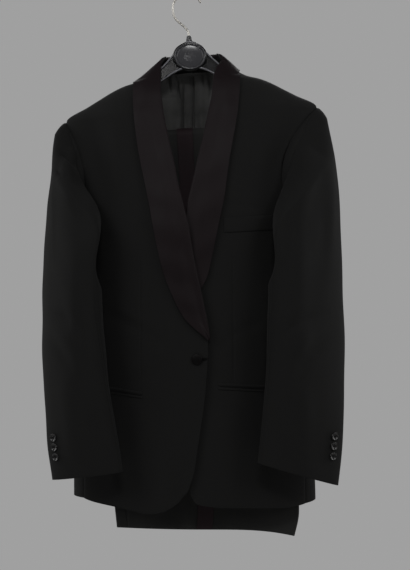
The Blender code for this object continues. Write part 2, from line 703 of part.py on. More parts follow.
def leg_path(radius):
    """Levels and depths of a run up the front, half a turn over the bar and down behind, for one layer."""
    front_z = np.array([-0.955, -0.915, -0.820, -0.680, -0.520, -0.380, BAR_LEVEL])
    turn = np.radians(np.linspace(30, 150, 5))
    over_z = BAR_LEVEL + radius * np.sin(turn)
    over_y = -radius * np.cos(turn)
    back_z = np.array([BAR_LEVEL, -0.300, CROTCH, -0.430, -0.520, WAIST_SEAM])
    z = np.concatenate([front_z, over_z, back_z])
    y = np.concatenate([np.full(7, -radius), over_y, np.full(6, radius)])
    behind = np.concatenate([np.zeros(7), np.full(5, 0.5), np.ones(6)])
    return y, z, behind


def leg_edges(z, behind):
    low = np.minimum(z, BAR_LEVEL)
    left = np.where(behind > 0.5, read(LEG_BACK_RUN, "left", low), read(LEG_FRONT_RUN, "left", low))
    right = np.where(behind > 0.5, read(LEG_BACK_RUN, "right", low), read(LEG_FRONT_RUN, "right", low))
    return left, right


def leg_piece(name, label, crease_side):
    """Half of a leg, wrapped round one crease: its outer face, the fold, and its inner face to the inseam."""
    inner_radius = LEG_LAYERS[label]
    shift = INNER_LEG_SHIFT if label == "R" else 0.0
    # The left leg lies outermost and shows its outer face; the right leg's outer face lies on the bar.
    face_out = inner_radius + (LEG_HOLLOW if label == "L" else 0.0)
    face_in = inner_radius + (0.0 if label == "L" else LEG_HOLLOW)
    columns = []
    for share, depth in (
        (0.0, 0.0), (0.35, 0.0), (0.7, 0.0), (1.0, 0.0), (1.0, 0.5), (1.0, 1.0), (0.6, 1.0), (0.0, 1.0),
    ):
        radius = face_out + (face_in - face_out) * depth
        y, z, behind = leg_path(radius)
        left, right = leg_edges(z, behind)
        left = left + shift * (behind == 0) * fade((-z - 0.30) / 0.5)
        middle = (left + right) / 2
        crease = left if crease_side < 0 else right
        if depth > 0.6:
            # Above the crotch the inner face narrows to a turning along the crease.
            narrow = fade((CROTCH + 0.01 - z) / 0.05) * (behind > 0.5)
            share = share + (0.94 + 0.04 * share - share) * narrow * (share < 0.9)
        gap = SEAM * 1.5 * crease_side
        x = middle + gap + (crease - middle - gap) * share + crease_side * LEG_HOLLOW / 2 * (depth == 0.5)
        hem = LEG_HEM_LEFT + (LEG_HEM_RIGHT - LEG_HEM_LEFT) * np.clip((x - left) / (right - left), 0, 1)
        z = np.where(z < -0.93, hem, z)
        columns.append(leaning(x, y, z))
    points = np.stack(columns, 1)
    centre = points[:, [0, -1]].mean(axis=1, keepdims=True)
    flat = points - centre
    wall(name, points, flat, WOOL, TROUSER_WALL)


def waistband(label):
    radius = LEG_LAYERS[label] + (LEG_HOLLOW if label == "L" else -TROUSER_WALL)
    left, right = (read(LEG_BACK_RUN, name, WAIST_SEAM) for name in ("left", "right"))
    x = np.linspace(left, right, 6)
    z = np.linspace(WAIST_SEAM - 2 * SEAM, WAIST_SEAM - WAISTBAND, 3)[:, None]
    points = leaning(x[None], radius, z)
    wall(f"waistband_{label}", points, np.array([0, 1.0, 0]), WOOL, TROUSER_WALL)


def stripe(label):
    """Down the outseam, on the leg's outer face."""
    if label == "L":
        radius, inside = LEG_LAYERS["L"] + TROUSER_WALL + LEG_HOLLOW + 0.0004, False
    else:
        radius, inside = LEG_LAYERS["R"] - TROUSER_WALL - 0.0004, True
    columns = []
    for across in (-1, 0, 1):
        y, z, behind = leg_path(radius)
        left, right = leg_edges(z, behind)
        shift = (INNER_LEG_SHIFT if label == "R" else 0.0) * (behind == 0) * fade((-z - 0.30) / 0.5)
        x = (left + shift + right) / 2 + across * STRIPE_HALF
        hem = LEG_HEM_LEFT + (LEG_HEM_RIGHT - LEG_HEM_LEFT) * (x - left) / (right - left)
        z = np.where(z < -0.93, hem, z)
        columns.append(leaning(x, y, z))
    points = np.stack(columns, 1)
    y = points[..., 1]
    outward = np.stack([0 * y, np.sign(y), 0.2 + 0 * y], -1)
    wall(f"stripe_{label}", points, outward, SATIN, 0.0010, inside=inside)


for thing in list(bpy.data.objects):
    bpy.data.objects.remove(thing)
SUIT = bpy.data.collections.new("dinner suit")
bpy.context.scene.collection.children.link(SUIT)
WOOL = material("black wool", (0.010, 0.010, 0.010), 0.85)
SATIN = material("black satin", (0.014, 0.011, 0.012), 0.38)
LINING = material("black lining", (0.022, 0.022, 0.023), 0.30)
HORN = material("black buttons", (0.012, 0.011, 0.011), 0.22)
PLASTIC = material("black plastic", (0.020, 0.020, 0.021), 0.30)
STEEL = material("plated wire", (0.70, 0.70, 0.69), 0.20, 1.0)

for side, label in ((-1, "right"), (1, "left")):
    front(side, f"front_{label}")
    side_panel(side, f"side_{label}")
    back(side, f"back_{label}")
    shawl(side, f"shawl_{label}")
    sleeve(side, (f"top_sleeve_{label}", f"under_sleeve_{label}"))
collar_stand()
back_lining()
pockets()
buttons()
hanger()
hanger_disc("hanger_disc_front", -0.0053, -1)
hanger_disc("hanger_disc_back", 0.0053, 1)
trouser_bar()
hook()
for leg in ("L", "R"):
    leg_piece(f"leg_front_{leg}", leg, -1)
    leg_piece(f"leg_back_{leg}", leg, 1)
    waistband(leg)
    stripe(leg)
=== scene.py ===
"""The looks of a dinner suit on its hanger: cloth, satin, lining, buttons, moulding, wire and light."""

import math

import bmesh
import bpy
import numpy as np
from bpy.props import FloatProperty, FloatVectorProperty, PointerProperty
from bpy.types import Operator, Panel, PropertyGroup
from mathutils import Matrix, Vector


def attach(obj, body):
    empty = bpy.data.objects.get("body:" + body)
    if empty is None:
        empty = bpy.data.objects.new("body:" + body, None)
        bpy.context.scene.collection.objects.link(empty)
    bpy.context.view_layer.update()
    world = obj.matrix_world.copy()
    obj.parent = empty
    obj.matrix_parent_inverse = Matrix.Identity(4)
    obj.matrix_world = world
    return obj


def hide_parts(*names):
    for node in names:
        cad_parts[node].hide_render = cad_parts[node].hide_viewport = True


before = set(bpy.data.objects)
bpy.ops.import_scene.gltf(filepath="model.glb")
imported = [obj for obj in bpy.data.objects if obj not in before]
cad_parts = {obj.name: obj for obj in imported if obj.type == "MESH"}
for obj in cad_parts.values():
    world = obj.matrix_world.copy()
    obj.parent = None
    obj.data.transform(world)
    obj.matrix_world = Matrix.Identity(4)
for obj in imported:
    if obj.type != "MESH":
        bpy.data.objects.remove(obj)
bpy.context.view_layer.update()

bl_info = {
    "name": "Dinner Suit",
    "version": (1, 0, 0),
    "blender": (4, 5, 0),
    "location": "View3D > Sidebar > Suit",
    "description": "Builds the cloth, trimmings and hanger of a dinner suit around its frame",
    "category": "Object",
}

# The wearer's right is at -x
SIDES = ((-1, "right"), (1, "left"))

# How the suit hangs, in metres and radians
LEAN = math.radians(3.4)
SHOULDER_SHEAR = math.tan(LEAN)
PLUMB_LEVEL, SHEAR_LEVEL = -0.88, -0.25
CENTRE_TOP, CENTRE_HEM = 0.0089, 0.0148
RING_POWER = 2.4
SLEEVE_CLEAR, SLEEVE_INSET, SLEEVE_CLOTH = 0.0078, 0.0021, 0.0018

# Levels and angles of the jacket's seams
SHOULDER_POINT, UNDERARM = -0.2136, -0.445
ARMHOLE_FRONT = {-1: math.radians(27), 1: math.radians(41)}
ARMHOLE_BACK = math.radians(28)
FRONT_SEAM, BACK_SEAM = math.radians(66), math.radians(112)
NECK_LEVEL, COLLAR_BEND = -0.1315, -0.30
LOWEST_ROW, HEM_START = -0.87, -0.60
HEM_LEVEL, BACK_HEM = -0.88, -0.886
OVERLAP_LIFT = 0.0082
BUTTON_LEVEL, CUFF_BUTTON_LEVELS = -0.6433, (-0.776, -0.7925, -0.8095)
SEAM_GAP = 0.00012  # half of the gap at a seam

# Hanger
HOOK_RADIUS, WIRE_RADIUS, HOOK_TIP = 0.0257, 0.002, math.radians(22)
BAR_LEVEL, BAR_RADIUS, BAR_REACH = -0.2495, 0.004, 0.186
DISC_RADIUS, DISC_LEVEL = 0.0274, -0.110
FLANGE, HALF_WEB = 0.0045, 0.0015

# Trousers
LEG_HEM_LEFT, LEG_HEM_RIGHT, LEG_HEM_START, LEG_LOWEST = -0.936, -0.969, -0.80, -0.955
CROTCH, WAIST_SEAM, WAISTBAND = -0.335, -0.605, 0.038
LEG_LAYERS = {"L": 0.0102, "R": 0.0068}
LEG_HOLLOW, STRIPE_HALF, STRIPE_TWIST, INNER_LEG_SHIFT = 0.0006, 0.014, 0.012, -0.020


def table(names, *rows):
    """Named columns from rows."""
    return dict(zip(names.split(), np.array(rows, float).T))


def folds(*rows):
    """Folds in the cloth: each runs from x0, z0 to x1, z1 on a bow and stands out by height.

    It sinks where the height is negative.
    """
    return table("x0 z0 x1 z1 bow width height", *rows)


BODY = table(
    "z half front back",
    (-0.104, 0.0440, 0.020, 0.0480),
    (-0.112, 0.0490, 0.022, 0.0470),
    (-0.131, 0.0657, 0.027, 0.0460),
    (-0.152, 0.0986, 0.037, 0.0500),
    (-0.158, 0.1200, 0.040, 0.0520),
    (-0.1674, 0.1417, 0.044, 0.0550),
    (-0.1786, 0.1617, 0.048, 0.0580),
    (-0.191, 0.1838, 0.051, 0.0610),
    (-0.2136, 0.2207, 0.057, 0.0670),
    (-0.260, 0.2170, 0.068, 0.0720),
    (-0.330, 0.2110, 0.080, 0.0760),
    (-0.440, 0.2070, 0.088, 0.0760),
    (-0.560, 0.2080, 0.088, 0.0680),
    (-0.700, 0.2090, 0.086, 0.0700),
    (-0.800, 0.2110, 0.085, 0.0740),
    (-0.930, 0.2130, 0.084, 0.0770),
)
ROLL = {
    -1: table(
        "z x",
        (-0.131, -0.0580), (-0.188, -0.0550), (-0.244, -0.0463), (-0.294, -0.0350), (-0.353, -0.0241),
        (-0.406, -0.0113), (-0.471, -0.0008), (-0.533, 0.0118), (-0.570, 0.0189), (-0.610, 0.0256),
    ),
    1: table(
        "z x",
        (-0.131, 0.0434), (-0.179, 0.0433), (-0.191, 0.0380), (-0.239, 0.0289), (-0.290, 0.0162),
        (-0.336, 0.0054), (-0.388, -0.0067), (-0.450, -0.0170), (-0.530, -0.0240),
    ),
}
LAPEL = {
    -1: table(
        "z x",
        (-0.170, -0.1008), (-0.185, -0.1007), (-0.243, -0.0961), (-0.295, -0.0882), (-0.359, -0.0750),
        (-0.432, -0.0621), (-0.497, -0.0473), (-0.523, -0.0372), (-0.560, -0.0227), (-0.590, 0.0030),
        (-0.610, 0.0245),
    ),
    1: table(
        "z x",
        (-0.160, 0.0846), (-0.201, 0.0819), (-0.253, 0.0742), (-0.307, 0.0639), (-0.366, 0.0554),
        (-0.421, 0.0435), (-0.469, 0.0332), (-0.511, 0.0218), (-0.530, 0.0100),
    ),
}
NECK_ROWS = {
    -1: table(
        "roll_angle roll_z outer_angle outer_z",
        (72, -0.1240, 54, -0.1590), (90, -0.1130, 86, -0.1510), (112, -0.1105, 112, -0.1520),
        (134, -0.1085, 134, -0.1565), (157, -0.1070, 157, -0.1580), (179.8, -0.1065, 179.8, -0.1585),
    ),
    1: table(
        "roll_angle roll_z outer_angle outer_z",
        (72, -0.1240, 52, -0.1545), (90, -0.1130, 82, -0.1435), (112, -0.1105, 112, -0.1455),
        (134, -0.1085, 134, -0.1565), (157, -0.1070, 157, -0.1580), (179.8, -0.1065, 179.8, -0.1585),
    ),
}
FRONT_EDGE = {
    -1: table(
        "z x",
        (-0.610, 0.0256), (-0.648, 0.0242), (-0.713, 0.0184), (-0.792, 0.0066), (-0.839, -0.0013),
        (-0.875, -0.0150),
    ),
    1: table(
        "z x",
        (-0.530, -0.0240), (-0.610, -0.0225), (-0.713, -0.0180), (-0.792, -0.0120), (-0.849, -0.0076),
        (-0.880, -0.0058),
    ),
}
HEM = {
    -1: table(
        "x z",
        (-0.2130, -0.878), (-0.2050, -0.884), (-0.1824, -0.893), (-0.1333, -0.902), (-0.0995, -0.909),
        (-0.0759, -0.912), (-0.0521, -0.907), (-0.0313, -0.894), (-0.0150, -0.875),
    ),
    1: table(
        "x z",
        (-0.0058, -0.880), (0.0020, -0.893), (0.0130, -0.897), (0.0500, -0.901), (0.0965, -0.902),
        (0.1512, -0.904), (0.1836, -0.901), (0.2095, -0.892), (0.2130, -0.884),
    ),
}
SLEEVE = {
    -1: table(
        "z inner outer",
        (-0.220, 0.2000, 0.2395), (-0.260, 0.1950, 0.2440), (-0.310, 0.1880, 0.2470),
        (-0.370, 0.1650, 0.2545), (-0.440, 0.1567, 0.2600), (-0.530, 0.1555, 0.2631),
        (-0.620, 0.1500, 0.2630), (-0.700, 0.1420, 0.2595), (-0.780, 0.1290, 0.2543),
        (-0.860, 0.1190, 0.2452),
    ),
    1: table(
        "z inner outer",
        (-0.220, 0.1950, 0.2370), (-0.260, 0.1800, 0.2440), (-0.310, 0.1600, 0.2525),
        (-0.370, 0.1520, 0.2575), (-0.440, 0.1395, 0.2607), (-0.530, 0.1298, 0.2628),
        (-0.620, 0.1260, 0.2644), (-0.700, 0.1207, 0.2617), (-0.780, 0.1130, 0.2576),
        (-0.870, 0.1030, 0.2478),
    ),
}
SLEEVE_DEPTH = table(
    "z middle half slant",
    (-0.220, -0.012, 0.042, 0.00),
    (-0.260, -0.026, 0.056, 0.10),
    (-0.310, -0.040, 0.062, 0.25),
    (-0.370, -0.052, 0.062, 0.40),
    (-0.440, -0.064, 0.058, 0.50),
    (-0.530, -0.076, 0.050, 0.50),
    (-0.620, -0.086, 0.043, 0.45),
    (-0.700, -0.094, 0.036, 0.38),
    (-0.780, -0.100, 0.028, 0.30),
    (-0.870, -0.104, 0.020, 0.22),
)
# How far the sleeve's front hangs in, and at what level
SLEEVE_HANG = {-1: (0.036, -0.388), 1: (0.033, -0.410)}
# Levels of the cuff at its outer and its inner edge
CUFF = {-1: (-0.851, -0.834), 1: (-0.861, -0.819)}
FRONT_SEAM_AT_CUFF, HIND_SEAM_AT_CUFF = math.radians(168), math.radians(4)
HANGER = table(
    "x top bottom half",
    (0.000, -0.0810, -0.1310, 0.0050),
    (0.014, -0.0870, -0.1325, 0.0050),
    (0.030, -0.1040, -0.1385, 0.0050),
    (0.050, -0.1240, -0.1500, 0.0055),
    (0.066, -0.1345, -0.1590, 0.0060),
    (0.098, -0.1545, -0.1750, 0.0075),
    (0.121, -0.1620, -0.1830, 0.0090),
    (0.142, -0.1710, -0.1910, 0.0105),
    (0.162, -0.1820, -0.1995, 0.0120),
    (0.184, -0.1945, -0.2090, 0.0135),
    (0.200, -0.2060, -0.2160, 0.0120),
)
HOOK_TAIL = table(
    "x z",
    (-0.0257, -0.0290), (-0.0240, -0.0370), (-0.0190, -0.0450), (-0.0110, -0.0525), (-0.0040, -0.0600),
    (-0.0005, -0.0670), (0.0, -0.0735),
)
LEG_FRONT_RUN = table(
    "z left right",
    (-0.2495, -0.163, 0.152), (-0.380, -0.165, 0.152), (-0.520, -0.166, 0.151), (-0.680, -0.165, 0.149),
    (-0.820, -0.162, 0.147), (-0.9146, -0.159, 0.1433), (-0.960, -0.157, 0.1310),
)
LEG_BACK_RUN = table(
    "z left right",
    (-0.2495, -0.163, 0.152), (-0.340, -0.168, 0.158), (-0.430, -0.180, 0.166), (-0.520, -0.188, 0.167),
    (-0.605, -0.186, 0.160),
)

FRONT_FOLDS = folds(
    (-0.165, -0.190, -0.125, -0.420, 0.010, 0.022, -0.0040),  # hollow before the armholes
    (0.175, -0.185, 0.140, -0.400, -0.010, 0.022, -0.0040),
    (-0.120, -0.180, -0.110, -0.560, 0.006, 0.030, 0.0030),
    (0.110, -0.180, 0.105, -0.520, -0.006, 0.028, 0.0030),
    (-0.160, -0.560, -0.030, -0.622, -0.006, 0.010, -0.0013),  # drag lines towards the button
    (-0.150, -0.690, -0.020, -0.650, 0.006, 0.012, -0.0012),
    (0.140, -0.575, 0.045, -0.628, 0.005, 0.010, -0.0011),
    (0.150, -0.720, 0.040, -0.662, -0.005, 0.012, -0.0010),
    (-0.125, -0.720, -0.118, -0.890, 0.003, 0.016, 0.0022),
    (-0.060, -0.700, -0.048, -0.895, -0.004, 0.014, -0.0016),
    (0.075, -0.710, 0.082, -0.895, 0.004, 0.018, 0.0018),
    (0.125, -0.700, 0.120, -0.890, -0.004, 0.013, -0.0014),
    (0.060, -0.372, 0.150, -0.380, 0.003, 0.006, -0.0007),
)
BACK_FOLDS = folds(
    (-0.170, -0.190, -0.140, -0.470, 0.012, 0.024, -0.0040),
    (0.175, -0.190, 0.150, -0.480, -0.012, 0.024, -0.0042),
    (-0.110, -0.175, -0.060, -0.290, -0.010, 0.020, 0.0022),
    (0.120, -0.172, 0.075, -0.300, 0.008, 0.018, 0.0020),
    (-0.095, -0.480, -0.088, -0.870, 0.006, 0.026, 0.0030),
    (0.105, -0.500, 0.112, -0.870, -0.008, 0.024, 0.0026),
    (-0.150, -0.610, -0.040, -0.566, 0.006, 0.012, -0.0014),
    (0.150, -0.598, 0.045, -0.560, -0.005, 0.010, -0.0012),
    (-0.045, -0.170, 0.065, -0.176, -0.010, 0.010, -0.0016),
)
SLEEVE_FOLDS = {
    -1: folds(
        (-0.206, -0.276, -0.180, -0.296, 0.002, 0.0046, 0.0034),  # puckers below the sleeve's head
        (-0.224, -0.276, -0.182, -0.312, 0.004, 0.0050, -0.0036),
        (-0.226, -0.290, -0.180, -0.326, 0.004, 0.0052, 0.0032),
        (-0.232, -0.304, -0.186, -0.346, 0.005, 0.0058, -0.0030),
        (-0.205, -0.250, -0.188, -0.420, 0.008, 0.012, 0.0028),
        (-0.228, -0.300, -0.220, -0.560, 0.006, 0.012, -0.0022),
        (-0.200, -0.400, -0.192, -0.620, -0.006, 0.014, 0.0026),
        (-0.178, -0.480, -0.168, -0.720, 0.004, 0.010, -0.0018),
        (-0.238, -0.560, -0.170, -0.600, -0.008, 0.010, -0.0024),  # the bend of the elbow
        (-0.240, -0.585, -0.180, -0.632, -0.006, 0.009, 0.0018),
        (-0.235, -0.610, -0.190, -0.668, -0.005, 0.009, -0.0015),
        (-0.205, -0.660, -0.188, -0.820, 0.004, 0.014, 0.0020),
        (-0.160, -0.700, -0.150, -0.830, -0.003, 0.010, -0.0014),
    ),
    1: folds(
        (0.190, -0.212, 0.236, -0.228, -0.004, 0.0060, -0.0020),  # dents across the sleeve's head
        (0.186, -0.232, 0.244, -0.258, -0.006, 0.0075, 0.0020),
        (0.184, -0.262, 0.240, -0.292, -0.006, 0.0080, -0.0016),
        (0.205, -0.250, 0.190, -0.420, -0.010, 0.014, 0.0030),
        (0.236, -0.280, 0.232, -0.520, -0.006, 0.012, -0.0022),
        (0.178, -0.330, 0.166, -0.560, -0.005, 0.011, -0.0020),
        (0.205, -0.430, 0.195, -0.640, 0.006, 0.015, 0.0024),
        (0.245, -0.560, 0.160, -0.605, 0.008, 0.010, -0.0026),
        (0.242, -0.590, 0.175, -0.640, 0.007, 0.010, 0.0018),
        (0.236, -0.625, 0.185, -0.676, 0.006, 0.009, -0.0014),
        (0.160, -0.640, 0.148, -0.820, 0.004, 0.012, -0.0018),
        (0.205, -0.680, 0.196, -0.840, -0.004, 0.014, 0.0020),
    ),
}
LINING_FOLDS = folds(
    (-0.0068, -0.150, -0.0072, -0.260, 0.0012, 0.0022, -0.0068),  # the fold beside the centre back's pleat
    (-0.0170, -0.142, -0.0075, -0.195, 0.0025, 0.0024, -0.0050),
    (0.0030, -0.126, 0.0030, -0.300, -0.0008, 0.0060, 0.0030),
    (0.0135, -0.128, 0.0130, -0.290, 0.0008, 0.0018, -0.0036),
    (0.0240, -0.122, 0.0260, -0.300, -0.0012, 0.0070, 0.0022),
    (-0.0340, -0.118, -0.0290, -0.168, 0.0030, 0.0026, -0.0050),
    (-0.0230, -0.120, -0.0190, -0.152, 0.0020, 0.0030, -0.0024),
    (0.0390, -0.126, 0.0415, -0.185, -0.0040, 0.0034, -0.0036),
    (0.0330, -0.122, 0.0345, -0.160, 0.0020, 0.0030, -0.0016),
    (-0.0480, -0.172, -0.0140, -0.175, 0.0010, 0.0018, -0.0006),
    (-0.0260, -0.160, -0.0250, -0.290, 0.0030, 0.0080, 0.0020),
    (-0.0800, -0.150, -0.0700, -0.300, 0.0040, 0.0080, 0.0030),
    (0.0850, -0.150, 0.0780, -0.300, -0.0040, 0.0080, 0.0030),
)
TROUSER_FOLDS = folds(
    (-0.080, -0.300, -0.070, -0.620, 0.006, 0.018, 0.0010),
    (0.075, -0.330, 0.080, -0.700, -0.006, 0.020, -0.0009),
    (-0.060, -0.640, -0.075, -0.930, 0.005, 0.016, -0.0009),
    (0.090, -0.660, 0.085, -0.940, 0.005, 0.016, 0.0010),
)
DART = {-1: (-0.0900, -0.0912), 1: (0.0700, 0.0692)}  # from the centre line, at the dart's top and foot
DART_TOP, DART_FOOT = -0.449, -0.700


# Shapes


def read(columns, name, at):
    """The named column at these places: cubics whose slope at a row is its neighbours' harmonic mean."""
    key = "x" if "x" in columns and name != "x" else "z"
    xs, ys = columns[key], columns[name]
    if xs[0] > xs[-1]:
        xs, ys = xs[::-1], ys[::-1]
    step = np.diff(xs)
    rise = np.diff(ys) / step
    product = rise[:-1] * rise[1:]
    slope = np.zeros(len(xs))
    slope[1:-1] = np.where(product > 0, 2 * product / np.where(product > 0, rise[:-1] + rise[1:], 1), 0)
    slope[0], slope[-1] = rise[0], rise[-1]
    at = np.clip(np.asarray(at, float), xs[0], xs[-1])
    i = np.clip(np.searchsorted(xs, at) - 1, 0, len(step) - 1)
    t = (at - xs[i]) / step[i]
    return (
        ys[i] * (1 + 2 * t) * (1 - t) ** 2
        + ys[i + 1] * t * t * (3 - 2 * t)
        + step[i] * t * (1 - t) * (slope[i] * (1 - t) - slope[i + 1] * t)
    )


def through(values, at, start=0):
    """The values as a smooth line, read at fractional row numbers; the first value's row is start."""
    return read({"x": start + np.arange(float(len(values))), "value": values}, "value", at)


def fade(t):
    """0 below 0, 1 above 1, and the smooth step 3t² − 2t³ between."""
    t = np.clip(t, 0, 1)
    return t * t * (3 - 2 * t)


def spaced(count, closeness=0.7):
    """0 to 1, closer together at both ends: a mix of even steps and a cosine's."""
    t = np.linspace(0, 1, count)
    return (1 - closeness) * t + closeness * (0.5 - 0.5 * np.cos(math.pi * t))


def unevenness(across, down, size, seed):
    """Soft waviness from -1 to 1: the mean of six sine waves of about this length in seeded directions."""
    random = np.random.default_rng(seed)
    total = 0
    for _ in range(6):
        turn, start = random.uniform(0, 2 * math.pi, 2)
        length = size * random.uniform(0.6, 1.7)
        along = across * math.cos(turn) + down * math.sin(turn)
        total = total + np.sin(along * 2 * math.pi / length + start)
    return total / 6


def creased(across, down, rows):
    """The folds' height at each point: a bell across each, which swells and dies out along its bowed line.

    A shallower bell of the other sign lies beside it, because cloth that rises in a fold sinks next to it.
    """
    height = np.zeros(np.broadcast(across, down).shape)
    for x0, z0, x1, z1, bow, width, rise in zip(*rows.values()):
        length = math.hypot(x1 - x0, z1 - z0)
        along = ((across - x0) * (x1 - x0) + (down - z0) * (z1 - z0)) / length**2
        aside = ((across - x0) * (z1 - z0) - (down - z0) * (x1 - x0)) / length
        inside = np.clip(along, 0, 1)
        aside = aside - 4 * bow * inside * (1 - inside)
        swell = np.sin(math.pi * inside) ** 0.8 * (1 + 0.25 * np.sin(9 * inside + x0 * 90))
        beside = np.exp(-(((aside + 1.7 * width) / width) ** 2))
        height += rise * swell * (np.exp(-((aside / width) ** 2)) - 0.35 * beside)
    return height


def normals_of(points, outward):
    """Each grid point's normal: the cross product of its slopes across and down, turned outward."""
    across, down = np.gradient(points, axis=1), np.gradient(points, axis=0)
    normal = np.cross(across, down)
    normal /= np.maximum(np.linalg.norm(normal, axis=-1, keepdims=True), 1e-12)
    return -normal if (normal * outward).sum() < 0 else normal


def run_of(points, axis, backwards=False):
    """Each point's distance from the grid's first row or column, or from its last one, along the cloth."""
    steps = np.linalg.norm(np.diff(points, axis=axis), axis=-1)
    if backwards:
        steps = np.flip(steps, axis)
    run = np.cumsum(steps, axis=axis)
    zero = np.zeros_like(np.take(run, [0], axis=axis))
    run = np.concatenate([zero, run], axis=axis)
    return np.flip(run, axis) if backwards else run


def seam_dip(distance):
    """How far cloth is drawn in at a seam: an exponential away from it."""
    suit = bpy.context.scene.suit_sizes
    return -suit.seam_depth * np.exp(-((distance / suit.seam_width) ** 1.5))


def seams_at(points, *edges):
    """The dips along the grid's edges that are sewn, added up."""
    ways = {"first column": (1, False), "last column": (1, True), "first row": (0, False)}
    return sum(seam_dip(run_of(points, *ways[edge])) for edge in edges)


# The jacket's form


def placed(x, y, z):
    """A point given from the jacket's centre line, sheared to hang from shoulders that lean."""
    along = np.clip((-z - 0.2) / 0.68, 0, 1)
    centre = CENTRE_TOP + (CENTRE_HEM - CENTRE_TOP) * along
    shear = SHOULDER_SHEAR * fade((z - PLUMB_LEVEL) / (SHEAR_LEVEL - PLUMB_LEVEL))
    return np.stack(np.broadcast_arrays(x + centre, y, z + x * shear), -1)


def body_size(ahead, z):
    """The body's half width at each level, and its depth before or behind."""
    return read(BODY, "half", z), np.where(ahead, read(BODY, "front", z), read(BODY, "back", z))


def body_point(phi, z):
    """The jacket's inner surface: half ovals whose half width and depths are read at each level."""
    half, depth = body_size(np.cos(phi) > 0, z)
    return placed(half * np.sin(phi), -depth * np.cos(phi), z)


def body_normal(phi, z):
    """Outward, from differences round and down."""
    e = 1e-4
    around = body_point(phi + e, z) - body_point(phi - e, z)
    normal = np.cross(around, body_point(phi, z + e) - body_point(phi, z - e))
    return normal / np.linalg.norm(normal, axis=-1, keepdims=True)


def jacket_point(phi, z, out=0.0):
    """The body's surface with its folds, moved out: the folds fade away where the cloth turns edge on."""
    phi, z, out = np.broadcast_arrays(phi, z, out)
    base, normal = body_point(phi, z), body_normal(phi, z)
    x, level = base[..., 0], base[..., 2]
    before, behind = np.clip(-normal[..., 1] * 1.6, 0, 1), np.clip(normal[..., 1] * 1.6, 0, 1)
    relief = before * creased(x, level, FRONT_FOLDS) + behind * creased(x, level, BACK_FOLDS)
    wave = 0.0011 * unevenness(x + 2 * base[..., 1], level, 0.11, 4)
    relief = relief * fade((-level - 0.15) / 0.05) + wave
    relief = relief * bpy.context.scene.suit_sizes.fold_strength
    return base + normal * (out + relief)[..., None]


def angle_of(x, z):
    """The angle round the body at this distance from the centre line: the arcsine of x over half width."""
    return np.arcsin(np.clip(x / read(BODY, "half", z), -1, 1))


def seam_angle(phi, z):
    """The half gap at a seam, as an angle round the body."""
    half, depth = body_size(np.cos(phi) > 0, z)
    return SEAM_GAP / np.hypot(half * np.cos(phi), depth * np.sin(phi))


def armhole(side, tau, inset=0.0):
    """Angle and level round the armhole; tau is 0 at the shoulder point, a right angle at the front."""
    middle, height = (SHOULDER_POINT + UNDERARM) / 2, (SHOULDER_POINT - UNDERARM) / 2
    scoop = np.where(np.sin(tau) > 0, ARMHOLE_FRONT[side], ARMHOLE_BACK)
    phi = math.pi / 2 - (scoop - inset / 0.2) * np.sin(tau)
    return phi * side, middle + (height - inset) * np.cos(tau)


def seam_tau(side):
    """Where the front and the back seam of the side panel meet the armhole, as angles round it."""
    front = math.pi - math.asin((math.pi / 2 - FRONT_SEAM) / ARMHOLE_FRONT[side])
    back = math.pi + math.asin((BACK_SEAM - math.pi / 2) / ARMHOLE_BACK)
    return front, back


def over_lift(side, phi, z):
    """How far the over front stands out: most at the overlap, nothing by the side and above the break."""
    if side > 0:
        return np.zeros(np.broadcast(phi, z).shape)
    x = read(BODY, "half", z) * np.sin(phi)
    return OVERLAP_LIFT * fade((x + 0.10) / 0.075) * fade((-z - 0.27) / 0.10)


def leaning(x, y, z):
    """A point of the hanger's own upright frame, turned about the hook by the lean."""
    x, y, z = np.broadcast_arrays(x, y, z)
    across, up = x * math.cos(LEAN) - z * math.sin(LEAN), x * math.sin(LEAN) + z * math.cos(LEAN)
    return np.stack([across, y, up], -1)


# Finishes


